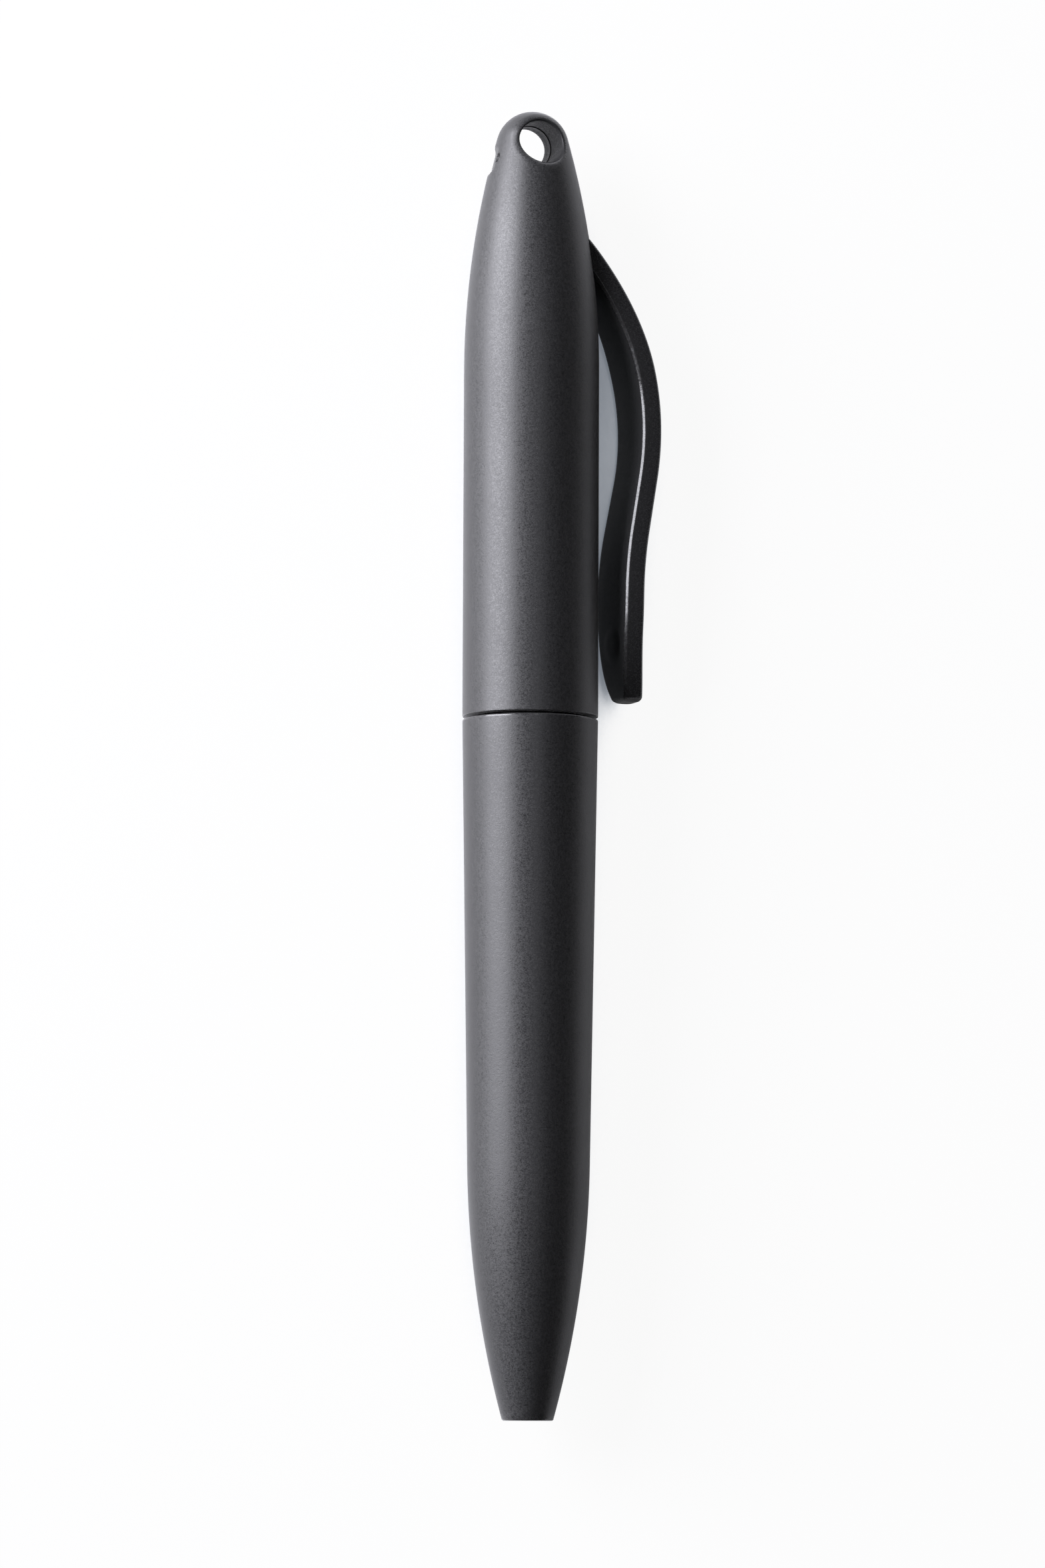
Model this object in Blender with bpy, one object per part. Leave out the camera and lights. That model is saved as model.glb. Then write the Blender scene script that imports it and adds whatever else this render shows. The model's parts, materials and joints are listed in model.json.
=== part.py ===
"""Twist-action ballpoint pen with a lanyard eye and a spring clip, modelled as its separate pieces.

The pen has a frame of its own: +Z runs along the pen, from the nose's end face (z = 0) to the domed rear end,
and +X points to the clip. The finished pen lies on the ground along world +Y, on its barrel and on the outer
edge of its clip. Sizes are in millimetres, and the meshes are built in metres.
"""

import math

import bmesh
import bpy

MM = 0.001
WELD = 1e-6

# Driving dimensions of the whole pen
PEN_LENGTH = 125.0
PEN_ROLL = math.radians(15.1)
REFILL_TRAVEL = 5.5
TWIST_TURN = math.pi
BALL_RECESS = 2.55

# Outer form of the two barrels
BARREL_R = 6.46
SEAM_Z = 66.3
SEAM_GAP = 0.3
SEAM_ROUND = 0.15
LOWER_MOUTH_R = 6.45
SHOULDER_R = 5.80
SHOULDER_Z = 24.0
NOSE_ARC_R = 97.0
NOSE_EDGE = 0.2
OGIVE_ARC_R = 85.0
DOME_R = 3.5

# Lanyard eye, a cross hole through the dome
EYE_R = 2.15
EYE_Z = 121.65

# Bores of the barrels
NOSE_BORE_R = 1.35
SPRING_SEAT_Z = 5.7
SPRING_SEAT_R = 2.45
NOSE_FLARE_Z = 20.0
NOSE_FLARE_R = 3.9
SHOULDER_BORE_Z = 30.0
SHOULDER_BORE_R = 4.3
MIDDLE_BORE_R = 4.5
INSERT_POCKET_R = 5.05
INSERT_POCKET_Z = 50.3
SLEEVE_BORE_R = 5.3
SLEEVE_BORE_END_Z = 105.9
REAR_BORE_R = 4.0
REAR_BORE_Z = 108.8
REAR_BORE_END_R = 3.7
REAR_BORE_END_Z = 114.0
REAR_BORE_POINT_Z = 115.2

# Twist unit: insert, stem, rings, cam sleeve and plunger
INSERT_R = 4.95
INSERT_BORE_R = 4.3
INSERT_LENGTH = 15.3
STEM_R = 4.15
STEM_BORE_R = 3.3
STEM_START_Z = 51.0
STEM_END_Z = 107.5
STEM_COLLAR_R = 4.95
STEM_COLLAR_Z = 66.05
STEM_COLLAR_LENGTH = 0.5
STEM_GROOVE_R = 3.72
DRAG_GROOVE_Z = 69.6
DRAG_GROOVE_LENGTH = 0.9
DRAG_RING_R = 4.04
DRAG_RING_SECTION_R = 0.25
SNAP_GROOVE_Z = 105.95
SNAP_GROOVE_LENGTH = 0.8
SNAP_RING_R = 4.75
SNAP_RING_BORE_R = 3.85
SNAP_RING_LENGTH = 0.5
SNAP_RING_TURN = math.radians(320)
CAM_SLEEVE_R = 5.15
CAM_SLEEVE_BORE_R = 4.35
CAM_SLEEVE_START_Z = 66.9
CAM_SLEEVE_END_Z = 105.5
CAM_PIN_R = 0.75
CAM_PIN_LENGTH = 9.8
CAM_PIN_Z = 103.6
CAM_SLOT_HALF = 1.1
CAM_SLOT_REACH = 0.5
CAM_SLOT_OVERRUN = math.radians(16)
CAM_SLOT_STEPS = 30
STEM_SLOT_WIDTH = 2.0
STEM_SLOT_MARGIN = 0.5
PLUNGER_R = 3.15
PLUNGER_END_Z = 106.8
PLUNGER_CUP_R = 2.6
PLUNGER_CUP_END_Z = 100.85
PLUNGER_START_Z = 97.2
PLUNGER_HOLE_GAP = 0.1

# Refill, with its ball BALL_RECESS behind the nose's end face
BALL_R = 0.5
SOCKET_LIP_Z = 2.75
SOCKET_LIP_R = 0.55
SOCKET_MOUTH_R = 0.47
SOCKET_CUP_R = 0.56
SOCKET_CUP_Z = 2.95
SOCKET_CUP_END_Z = 3.65
SOCKET_R = 1.15
SOCKET_CONE_END_Z = 6.0
SOCKET_END_Z = 12.3
SOCKET_SPIGOT_R = 0.85
SOCKET_SPIGOT_END_Z = 15.5
INK_CHANNEL_R = 0.35
COLLAR_START_Z = 12.5
COLLAR_NECK_R = 1.5
COLLAR_SEAT_R = 0.95
COLLAR_SEAT_END_Z = 15.8
COLLAR_BORE_R = 0.6
COLLAR_SHOULDER_Z = 26.0
COLLAR_SHOULDER_END_Z = 27.3
COLLAR_SPIGOT_R = 2.4
COLLAR_END_Z = 30.0
REFILL_R = 3.0
REFILL_BORE_R = 2.55
REFILL_TUBE_START_Z = 27.5
REFILL_TUBE_END_Z = 95.8
INK_R = 2.45
INK_START_Z = 30.2
INK_END_Z = 84.0
PLUG_SPIGOT_R = 2.4
PLUG_SPIGOT_START_Z = 92.5
PLUG_FLANGE_START_Z = 96.0
PLUG_FLANGE_END_Z = 96.9
PLUG_END_R = 2.4
PLUG_END_Z = 100.6

# Return spring, between the nose's inner seat and the refill's shoulder
SPRING_R = 2.0
SPRING_WIRE_R = 0.22
SPRING_START_Z = 6.1
SPRING_END_Z = 25.55
SPRING_TURNS = 11
SPRING_END_PITCH = 0.9
SPRING_POINTS_PER_TURN = 10

# Clip: a strip whose outer face follows a flared end, a straight run, a reverse bend, a slope and a crest.
# Its end is a tongue, half an ellipse cut off square at the tip. It is widest just above the tongue, and it
# narrows towards its root.
CLIP_WIDTH = 7.08
CLIP_SWELL = 0.44
CLIP_SWELL_START_Z = 93.0
CLIP_SWELL_FULL_Z = 81.0
CLIP_ROOT_WIDTH = 5.6
CLIP_ROOT_START_Z = 100.0
CLIP_ROOT_END_Z = 111.0
CLIP_THICKNESS = 1.98
CLIP_EDGE = 0.4
CLIP_EDGE_SHARE = 0.4
CLIP_PAD_SHARE = 0.6
CLIP_TIP_Z = 68.35
CLIP_TIP_X = 10.93
CLIP_TIP_EDGE = 0.3
CLIP_TONGUE_LENGTH = 12.2
CLIP_TONGUE_CUT = 0.85
CLIP_SQUARE_RUN = 3.0
CLIP_FLARE = math.radians(11.9)
CLIP_FLARE_R = 33.5
CLIP_STRAIGHT = 3.0
CLIP_REVERSE_R = 36.2
CLIP_SLOPE = math.radians(10.17)
CLIP_SLOPE_LENGTH = 4.94
CLIP_CREST_R = 27.08
CLIP_ROOT_SLOPE = math.radians(43)
CLIP_FOOT = 2.4
CLIP_BUMP_START = 4.4
CLIP_BUMP_LENGTH = 2.4
CLIP_BUMP_WIDTH = 3.4
CLIP_BUMP_HEIGHT = 0.5
CLIP_SLOT_GAP = 0.3

# Counts of sides and steps
BARREL_SIDES = 48
INNER_SIDES = 36
SMALL_SIDES = 24
PIN_SIDES = 16
ARC_STEPS = 8
DOME_STEPS = 7
EYE_SIDES = 40
CLIP_TONGUE_STEPS = 4
CLIP_ARC_STEPS = 3
CLIP_CREST_STEPS = 14
CLIP_BUMP_STEPS = 6

# Finishes: colour, roughness and metallic value
BLACK_PLASTIC = ((0.014, 0.014, 0.015), 0.46, 0.0)
INNER_PLASTIC = ((0.03, 0.03, 0.032), 0.45, 0.0)
BRASS = ((0.70, 0.52, 0.22), 0.32, 1.0)
STEEL = ((0.62, 0.62, 0.64), 0.28, 1.0)
RUBBER = ((0.02, 0.02, 0.02), 0.85, 0.0)
WHITE_PLASTIC = ((0.78, 0.78, 0.76), 0.40, 0.0)
INK = ((0.01, 0.015, 0.09), 0.25, 0.0)
CARBIDE = ((0.45, 0.45, 0.47), 0.15, 1.0)


def clear_scene():
    """Remove every object that the scene starts with."""
    for old in list(bpy.data.objects):
        bpy.data.objects.remove(old, do_unlink=True)


def finish_material(name, finish):
    """Make one Principled material from a finish's colour, roughness and metallic value."""
    colour, roughness, metallic = finish
    material = bpy.data.materials.new(name)
    material.use_nodes = True
    shader = material.node_tree.nodes["Principled BSDF"]
    shader.inputs["Base Color"].default_value = (*colour, 1.0)
    shader.inputs["Roughness"].default_value = roughness
    shader.inputs["Metallic"].default_value = metallic
    material.diffuse_color = (*colour, 1.0)
    return material


def add_object(name, data, parent):
    """Link new object data into the scene under a parent."""
    piece = bpy.data.objects.new(name, data)
    bpy.context.scene.collection.objects.link(piece)
    piece.parent = parent
    return piece


def add_mesh(name, bm, parent, finish):
    """Turn a finished bmesh into a smooth-shaded piece with its own material."""
    bmesh.ops.remove_doubles(bm, verts=bm.verts, dist=WELD)
    bmesh.ops.recalc_face_normals(bm, faces=bm.faces)
    mesh = bpy.data.meshes.new(name)
    bm.to_mesh(mesh)
    bm.free()
    mesh.shade_smooth()
    mesh.set_sharp_from_angle(angle=math.radians(35))
    mesh.materials.append(finish_material(name, finish))
    return add_object(name, mesh, parent)


def add_cutter(name, bm, parent):
    """Turn a finished bmesh into a hidden cutter."""
    cutter = add_mesh(name, bm, parent, INNER_PLASTIC)
    cutter.hide_render = True
    cutter.display_type = "WIRE"
    return cutter


def cut(piece, cutter):
    """Take a cutter's shape out of a piece."""
    boolean = piece.modifiers.new(cutter.name, "BOOLEAN")
    boolean.operation = "DIFFERENCE"
    boolean.solver = "EXACT"
    boolean.object = cutter


def arc(centre_r, centre_z, radius, start, end, steps):
    """Points of an arc in the (r, z) plane, with angles measured from +r towards +z."""
    angles = [start + (end - start) * k / steps for k in range(steps + 1)]
    return [(centre_r + radius * math.cos(a), centre_z + radius * math.sin(a)) for a in angles]


def turned(outline, sides, turn=2 * math.pi):
    """Spin an outline of (r, z) points about the pen's axis; the outline closes on itself or on the axis."""
    bm = bmesh.new()
    verts = [bm.verts.new((r * MM, 0.0, z * MM)) for r, z in outline]
    loop = zip(verts, verts[1:] + verts[:1])
    edges = [bm.edges.new((a, b)) for a, b in loop if a.co.x > WELD or b.co.x > WELD]
    whole = turn >= 2 * math.pi
    bmesh.ops.spin(
        bm, geom=verts + edges, cent=(0, 0, 0), axis=(0, 0, 1), angle=turn, steps=sides, use_merge=whole
    )
    if not whole:
        rims = [edge for edge in bm.edges if edge.is_boundary]
        bmesh.ops.holes_fill(bm, edges=rims)
    return bm


def tube_outline(outer_r, bore_r, start_z, end_z):
    """Outline of a plain tube: down its outer side, then up its bore."""
    return [(outer_r, end_z), (outer_r, start_z), (bore_r, start_z), (bore_r, end_z)]


def bar(radius, length, sides, height):
    """A round bar along Y, centred on the pen's axis at a height."""
    bm = bmesh.new()
    bmesh.ops.create_cone(
        bm, cap_ends=True, segments=sides, radius1=radius * MM, radius2=radius * MM, depth=length * MM
    )
    for vert in bm.verts:
        x, y, z = vert.co
        vert.co = (x, -z, y + height * MM)
    return bm


def loft(sections):
    """Skin a row of closed sections, each the same number of points, and cap both ends."""
    bm = bmesh.new()
    rings = [[bm.verts.new([c * MM for c in point]) for point in section] for section in sections]
    for low, high in zip(rings, rings[1:]):
        for k in range(len(low)):
            bm.faces.new((low[k - 1], low[k], high[k], high[k - 1]))
    bm.faces.new(rings[0])
    bm.faces.new(reversed(rings[-1]))
    return bm


def dome_angle():
    """Angle on the dome, and on the ogive, where the two arcs meet on one tangent."""
    return math.acos((OGIVE_ARC_R - BARREL_R) / (OGIVE_ARC_R - DOME_R))


def upper_outline():
    """Outline of the upper barrel: dome, ogive and straight side, then the blind bore."""
    meet = dome_angle()
    dome_z = PEN_LENGTH - DOME_R
    ogive_z = dome_z - (OGIVE_ARC_R - DOME_R) * math.sin(meet)
    mouth_z = SEAM_Z + SEAM_GAP
    dome = arc(0.0, dome_z, DOME_R, math.pi / 2, meet, DOME_STEPS)
    dome[0] = (0.0, PEN_LENGTH)
    ogive = arc(BARREL_R - OGIVE_ARC_R, ogive_z, OGIVE_ARC_R, meet, 0.0, ARC_STEPS)
    rim = arc(BARREL_R - SEAM_ROUND, mouth_z + SEAM_ROUND, SEAM_ROUND, 0.0, -math.pi / 2, 2)
    bore = [
        (SLEEVE_BORE_R, mouth_z),
        (SLEEVE_BORE_R, SLEEVE_BORE_END_Z),
        (REAR_BORE_R, REAR_BORE_Z),
        (REAR_BORE_END_R, REAR_BORE_END_Z),
        (0.0, REAR_BORE_POINT_Z),
    ]
    return dome + ogive[1:] + rim + bore


def lower_outline():
    """Outline of the lower barrel: rounded mouth, long cone and nose arc, then the stepped bore."""
    cone = math.atan((LOWER_MOUTH_R - SHOULDER_R) / (SEAM_Z - SHOULDER_Z))
    centre_r = SHOULDER_R - NOSE_ARC_R * math.cos(cone)
    centre_z = SHOULDER_Z + NOSE_ARC_R * math.sin(cone)
    end = math.asin((centre_z - NOSE_EDGE) / NOSE_ARC_R)
    rim = arc(LOWER_MOUTH_R - SEAM_ROUND, SEAM_Z - SEAM_ROUND, SEAM_ROUND, math.pi / 2, 0.0, 2)
    nose = arc(centre_r, centre_z, NOSE_ARC_R, -cone, -end, ARC_STEPS)
    bore = [
        (nose[-1][0] - NOSE_EDGE, 0.0),
        (NOSE_BORE_R, 0.0),
        (NOSE_BORE_R, SPRING_SEAT_Z),
        (SPRING_SEAT_R, SPRING_SEAT_Z),
        (NOSE_FLARE_R, NOSE_FLARE_Z),
        (SHOULDER_BORE_R, SHOULDER_BORE_Z),
        (MIDDLE_BORE_R, INSERT_POCKET_Z),
        (INSERT_POCKET_R, INSERT_POCKET_Z),
        (INSERT_POCKET_R, SEAM_Z),
    ]
    return rim + nose + bore


def clip_path(foot):
    """Stations along the clip's outer face from tip to foot: (run, x, z, heading), heading 0 along +Z."""
    stations = [(0.0, CLIP_TIP_X, CLIP_TIP_Z, -CLIP_FLARE)]

    def follow(length, steps, curve=0.0):
        for _ in range(steps):
            run, x, z, heading = stations[-1]
            step = length / steps
            middle = heading + step * curve / 2
            x += step * math.sin(middle)
            z += step * math.cos(middle)
            stations.append((run + step, x, z, heading + step * curve))

    flare = 1 / CLIP_FLARE_R
    follow(CLIP_TIP_EDGE, 1, flare)
    first = (CLIP_BUMP_START - CLIP_TIP_EDGE) / (2**CLIP_TONGUE_STEPS - 1)
    for k in range(CLIP_TONGUE_STEPS):
        follow(first * 2**k, 1, flare)
    follow(CLIP_BUMP_LENGTH, CLIP_BUMP_STEPS, flare)
    follow(CLIP_FLARE_R * CLIP_FLARE - CLIP_BUMP_START - CLIP_BUMP_LENGTH, 1, flare)
    follow(CLIP_STRAIGHT, 1)
    follow(CLIP_REVERSE_R * CLIP_SLOPE, CLIP_ARC_STEPS, 1 / CLIP_REVERSE_R)
    follow(CLIP_SLOPE_LENGTH, 1)
    follow(CLIP_CREST_R * (CLIP_SLOPE + CLIP_ROOT_SLOPE), CLIP_CREST_STEPS, -1 / CLIP_CREST_R)
    follow(foot, 1)
    return stations


def eased(value, start, end):
    """Smooth step from 0 at start to 1 at end, level beyond both."""
    share = min(1.0, max(0.0, (value - start) / (end - start)))
    return share * share * (3 - 2 * share)


def clip_half_width(run, z):
    """Half of the clip's width: a tongue at its end, a swell above it and a narrowing towards its root."""
    tongue = max(0.0, 1.0 - (run + CLIP_TONGUE_CUT) / CLIP_TONGUE_LENGTH)
    swell = CLIP_SWELL * eased(z, CLIP_SWELL_START_Z, CLIP_SWELL_FULL_Z)
    narrowing = (CLIP_WIDTH - CLIP_ROOT_WIDTH) / 2 * eased(z, CLIP_ROOT_START_Z, CLIP_ROOT_END_Z)
    return (CLIP_WIDTH / 2 + swell) * math.sqrt(1.0 - tongue * tongue) - narrowing


def clip_section(station, grow, origin):
    """One closed section of the clip, seen along its path; grow widens it all round, for its slot."""
    run, x, z, heading = station
    lean = math.sin(heading) * min(1.0, run / CLIP_SQUARE_RUN)
    inset = CLIP_TIP_EDGE if run == 0.0 else 0.0
    reach = (run - CLIP_BUMP_START) / CLIP_BUMP_LENGTH * 2 - 1
    bump = CLIP_BUMP_HEIGHT * math.sqrt(max(0.0, 1.0 - reach * reach))
    half = clip_half_width(run, z) - inset + grow
    edge = min(CLIP_EDGE, CLIP_EDGE_SHARE * half)
    top = -grow + inset
    bottom = CLIP_THICKNESS - inset + grow
    pad = min(CLIP_BUMP_WIDTH / 2, CLIP_PAD_SHARE * (half - edge))
    side = [
        (half - edge, top),
        (half, top + edge),
        (half, bottom - edge),
        (half - edge, bottom),
        (pad, bottom + bump),
    ]
    outline = side + [(-across, depth) for across, depth in reversed(side)]
    return [
        (
            x - depth * math.cos(heading) - origin[0],
            across - origin[1],
            z + depth * lean - origin[2],
        )
        for across, depth in outline
    ]


def clip_hinge():
    """Where the clip bends: the middle of its thickness as it enters the barrel."""
    _, x, z, heading = clip_path(CLIP_FOOT)[-2]
    depth = CLIP_THICKNESS / 2
    return (x - depth * math.cos(heading), 0.0, z + depth * math.sin(heading))


def make_lower_barrel(pen):
    """The front shell, with its flat-cut nose."""
    add_mesh("lower_barrel", turned(lower_outline(), BARREL_SIDES), pen, BLACK_PLASTIC)


def make_upper_barrel(pen):
    """The rear shell, drilled across its dome for a lanyard and slotted for the clip's foot."""
    barrel = add_mesh("upper_barrel", turned(upper_outline(), BARREL_SIDES), pen, BLACK_PLASTIC)
    eye = bar(EYE_R, 4 * DOME_R, EYE_SIDES, EYE_Z)
    cut(barrel, add_cutter("eye_cutter", eye, pen))
    stations = [s for s in clip_path(CLIP_FOOT + CLIP_SLOT_GAP) if s[3] < -CLIP_ROOT_SLOPE / 2]
    slot = loft([clip_section(station, CLIP_SLOT_GAP, (0, 0, 0)) for station in stations])
    cut(barrel, add_cutter("clip_slot_cutter", slot, pen))


def make_clip(pen):
    """The arched strip, with its origin on the line that it bends about."""
    hinge = clip_hinge()
    strip = loft([clip_section(station, 0.0, hinge) for station in clip_path(CLIP_FOOT)])
    clip = add_mesh("clip", strip, pen, BLACK_PLASTIC)
    clip.location = [c * MM for c in hinge]


def make_stem(pen):
    """The fixed parts of the twist unit: insert, slotted stem, drag ring and snap ring."""
    insert_end = INSERT_POCKET_Z + SEAM_GAP + INSERT_LENGTH
    insert = tube_outline(INSERT_R, INSERT_BORE_R, INSERT_POCKET_Z + SEAM_GAP, insert_end)
    add_mesh("barrel_insert", turned(insert, INNER_SIDES), pen, BRASS)

    collar_end = STEM_COLLAR_Z + STEM_COLLAR_LENGTH
    snap_end = SNAP_GROOVE_Z + SNAP_GROOVE_LENGTH
    drag_end = DRAG_GROOVE_Z + DRAG_GROOVE_LENGTH
    stem = [
        (STEM_R, STEM_END_Z),
        (STEM_R, snap_end),
        (STEM_GROOVE_R, snap_end),
        (STEM_GROOVE_R, SNAP_GROOVE_Z),
        (STEM_R, SNAP_GROOVE_Z),
        (STEM_R, drag_end),
        (STEM_GROOVE_R, drag_end),
        (STEM_GROOVE_R, DRAG_GROOVE_Z),
        (STEM_R, DRAG_GROOVE_Z),
        (STEM_R, collar_end),
        (STEM_COLLAR_R, collar_end),
        (STEM_COLLAR_R, STEM_COLLAR_Z),
        (STEM_R, STEM_COLLAR_Z),
        (STEM_R, STEM_START_Z),
        (STEM_BORE_R, STEM_START_Z),
        (STEM_BORE_R, STEM_END_Z),
    ]
    guide = add_mesh("guide_tube", turned(stem, INNER_SIDES), pen, INNER_PLASTIC)
    cut(guide, add_cutter("stem_slot_cutter", stem_slots(), pen))

    drag_z = DRAG_GROOVE_Z + DRAG_GROOVE_LENGTH / 2
    drag = arc(DRAG_RING_R, drag_z, DRAG_RING_SECTION_R, math.tau, math.tau / 8, 7)
    add_mesh("drag_ring", turned(drag, INNER_SIDES), pen, RUBBER)

    snap_z = SNAP_GROOVE_Z + (SNAP_GROOVE_LENGTH - SNAP_RING_LENGTH) / 2
    snap = tube_outline(SNAP_RING_R, SNAP_RING_BORE_R, snap_z, snap_z + SNAP_RING_LENGTH)
    add_mesh("retaining_ring", turned(snap, INNER_SIDES, SNAP_RING_TURN), pen, STEEL)


def stem_slots():
    """Cutter of the stem's two straight slots, one bar along Y as long as the pin's travel."""
    low = CAM_PIN_Z - REFILL_TRAVEL - CAM_PIN_R - STEM_SLOT_MARGIN
    high = CAM_PIN_Z + CAM_PIN_R + STEM_SLOT_MARGIN
    half = STEM_SLOT_WIDTH / 2
    corners = [(-half, low), (half, low), (half, high), (-half, high)]
    return loft([[(x, y, z) for x, z in corners] for y in (-CAM_SLEEVE_BORE_R, CAM_SLEEVE_BORE_R)])


def cam_slot(start_angle):
    """Cutter of one helical slot: it falls by the refill's travel over the twist's turn."""
    rise = REFILL_TRAVEL / TWIST_TURN
    turn = TWIST_TURN + 2 * CAM_SLOT_OVERRUN
    inner = CAM_SLEEVE_BORE_R - CAM_SLOT_REACH
    outer = CAM_SLEEVE_R + CAM_SLOT_REACH
    sections = []
    for k in range(CAM_SLOT_STEPS + 1):
        twist = turn * k / CAM_SLOT_STEPS - CAM_SLOT_OVERRUN
        angle = start_angle + twist
        z = CAM_PIN_Z - rise * twist
        corners = [
            (inner, z - CAM_SLOT_HALF),
            (outer, z - CAM_SLOT_HALF),
            (outer, z + CAM_SLOT_HALF),
            (inner, z + CAM_SLOT_HALF),
        ]
        sections.append([(r * math.cos(angle), r * math.sin(angle), height) for r, height in corners])
    return loft(sections)


def make_cam_sleeve(pen):
    """The sleeve that turns with the upper barrel, with its two helical slots."""
    outline = tube_outline(CAM_SLEEVE_R, CAM_SLEEVE_BORE_R, CAM_SLEEVE_START_Z, CAM_SLEEVE_END_Z)
    sleeve = add_mesh("cam_sleeve", turned(outline, INNER_SIDES), pen, INNER_PLASTIC)
    for side, start_angle in (("near", -math.pi / 2), ("far", math.pi / 2)):
        cut(sleeve, add_cutter(f"cam_slot_cutter_{side}", cam_slot(start_angle), pen))


def make_plunger(pen):
    """The cup that pushes the refill, and the cross pin that drives it."""
    outline = [
        (0.0, PLUNGER_END_Z),
        (PLUNGER_R, PLUNGER_END_Z),
        (PLUNGER_R, PLUNGER_START_Z),
        (PLUNGER_CUP_R, PLUNGER_START_Z),
        (PLUNGER_CUP_R, PLUNGER_CUP_END_Z),
        (0.0, PLUNGER_CUP_END_Z),
    ]
    plunger = add_mesh("plunger", turned(outline, INNER_SIDES), pen, WHITE_PLASTIC)
    hole = bar(CAM_PIN_R + PLUNGER_HOLE_GAP, 3 * PLUNGER_R, PIN_SIDES, CAM_PIN_Z)
    cut(plunger, add_cutter("pin_hole_cutter", hole, pen))
    add_mesh("cam_pin", bar(CAM_PIN_R, CAM_PIN_LENGTH, PIN_SIDES, CAM_PIN_Z), pen, STEEL)


def make_refill(pen):
    """The refill: tube, ink, rear plug, stepped front collar, point and ball."""
    tube = tube_outline(REFILL_R, REFILL_BORE_R, REFILL_TUBE_START_Z, REFILL_TUBE_END_Z)
    add_mesh("refill_tube", turned(tube, INNER_SIDES), pen, STEEL)

    ink = [(0.0, INK_END_Z), (INK_R, INK_END_Z), (INK_R, INK_START_Z), (0.0, INK_START_Z)]
    add_mesh("ink_column", turned(ink, SMALL_SIDES), pen, INK)

    plug = [
        (0.0, PLUG_END_Z),
        (PLUG_END_R, PLUG_END_Z),
        (PLUG_END_R, PLUG_FLANGE_END_Z),
        (REFILL_R, PLUG_FLANGE_END_Z),
        (REFILL_R, PLUG_FLANGE_START_Z),
        (PLUG_SPIGOT_R, PLUG_FLANGE_START_Z),
        (PLUG_SPIGOT_R, PLUG_SPIGOT_START_Z),
        (0.0, PLUG_SPIGOT_START_Z),
    ]
    add_mesh("refill_plug", turned(plug, INNER_SIDES), pen, WHITE_PLASTIC)

    collar = [
        (COLLAR_SPIGOT_R, COLLAR_END_Z),
        (COLLAR_SPIGOT_R, COLLAR_SHOULDER_END_Z),
        (REFILL_R, COLLAR_SHOULDER_END_Z),
        (REFILL_R, COLLAR_SHOULDER_Z),
        (COLLAR_NECK_R, COLLAR_SHOULDER_Z),
        (COLLAR_NECK_R, COLLAR_START_Z),
        (COLLAR_SEAT_R, COLLAR_START_Z),
        (COLLAR_SEAT_R, COLLAR_SEAT_END_Z),
        (COLLAR_BORE_R, COLLAR_SEAT_END_Z),
        (COLLAR_BORE_R, COLLAR_END_Z),
    ]
    add_mesh("tip_collar", turned(collar, INNER_SIDES), pen, WHITE_PLASTIC)

    socket = [
        (SOCKET_SPIGOT_R, SOCKET_SPIGOT_END_Z),
        (SOCKET_SPIGOT_R, SOCKET_END_Z),
        (SOCKET_R, SOCKET_END_Z),
        (SOCKET_R, SOCKET_CONE_END_Z),
        (SOCKET_LIP_R, SOCKET_LIP_Z),
        (SOCKET_MOUTH_R, SOCKET_LIP_Z),
        (SOCKET_CUP_R, SOCKET_CUP_Z),
        (SOCKET_CUP_R, SOCKET_CUP_END_Z),
        (INK_CHANNEL_R, SOCKET_CUP_END_Z),
        (INK_CHANNEL_R, SOCKET_SPIGOT_END_Z),
    ]
    add_mesh("tip_socket", turned(socket, SMALL_SIDES), pen, STEEL)

    ball = bmesh.new()
    bmesh.ops.create_icosphere(ball, subdivisions=3, radius=BALL_R * MM)
    sphere = add_mesh("writing_ball", ball, pen, CARBIDE)
    sphere.location = (0.0, 0.0, (BALL_RECESS + BALL_R) * MM)


def spring_points():
    """Centre line of the spring: an even helix whose first and last turns lie closer."""
    count = SPRING_TURNS * SPRING_POINTS_PER_TURN
    free_turns = SPRING_TURNS - 2
    pitch = (SPRING_END_Z - SPRING_START_Z - 2 * SPRING_END_PITCH) / free_turns
    points = []
    for k in range(count + 1):
        turn = k / SPRING_POINTS_PER_TURN
        closed = min(turn, 1.0) + max(0.0, turn - SPRING_TURNS + 1.0)
        z = SPRING_START_Z + closed * SPRING_END_PITCH + (turn - closed) * pitch
        angle = turn * math.tau
        points.append((SPRING_R * math.cos(angle), SPRING_R * math.sin(angle), z))
    return points


def least_gap(points):
    """Least clear distance in millimetres between two turns of the spring."""
    skip = SPRING_POINTS_PER_TURN // 2
    pairs = [(a, b) for k, a in enumerate(points) for b in points[k + skip:]]
    return min(math.dist(a, b) for a, b in pairs) - 2 * SPRING_WIRE_R


def make_spring(pen):
    """The return spring, one round wire along a helix."""
    points = spring_points()
    print(f"return_spring: least gap between turns {least_gap(points):.2f} mm")
    wire = bpy.data.curves.new("return_spring", "CURVE")
    wire.dimensions = "3D"
    wire.bevel_depth = SPRING_WIRE_R * MM
    wire.bevel_resolution = 1
    wire.use_fill_caps = True
    line = wire.splines.new("POLY")
    line.points.add(len(points) - 1)
    for place, point in zip(line.points, points):
        place.co = (*[c * MM for c in point], 1.0)
    wire.materials.append(finish_material("return_spring", STEEL))
    add_object("return_spring", wire, pen)


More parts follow.
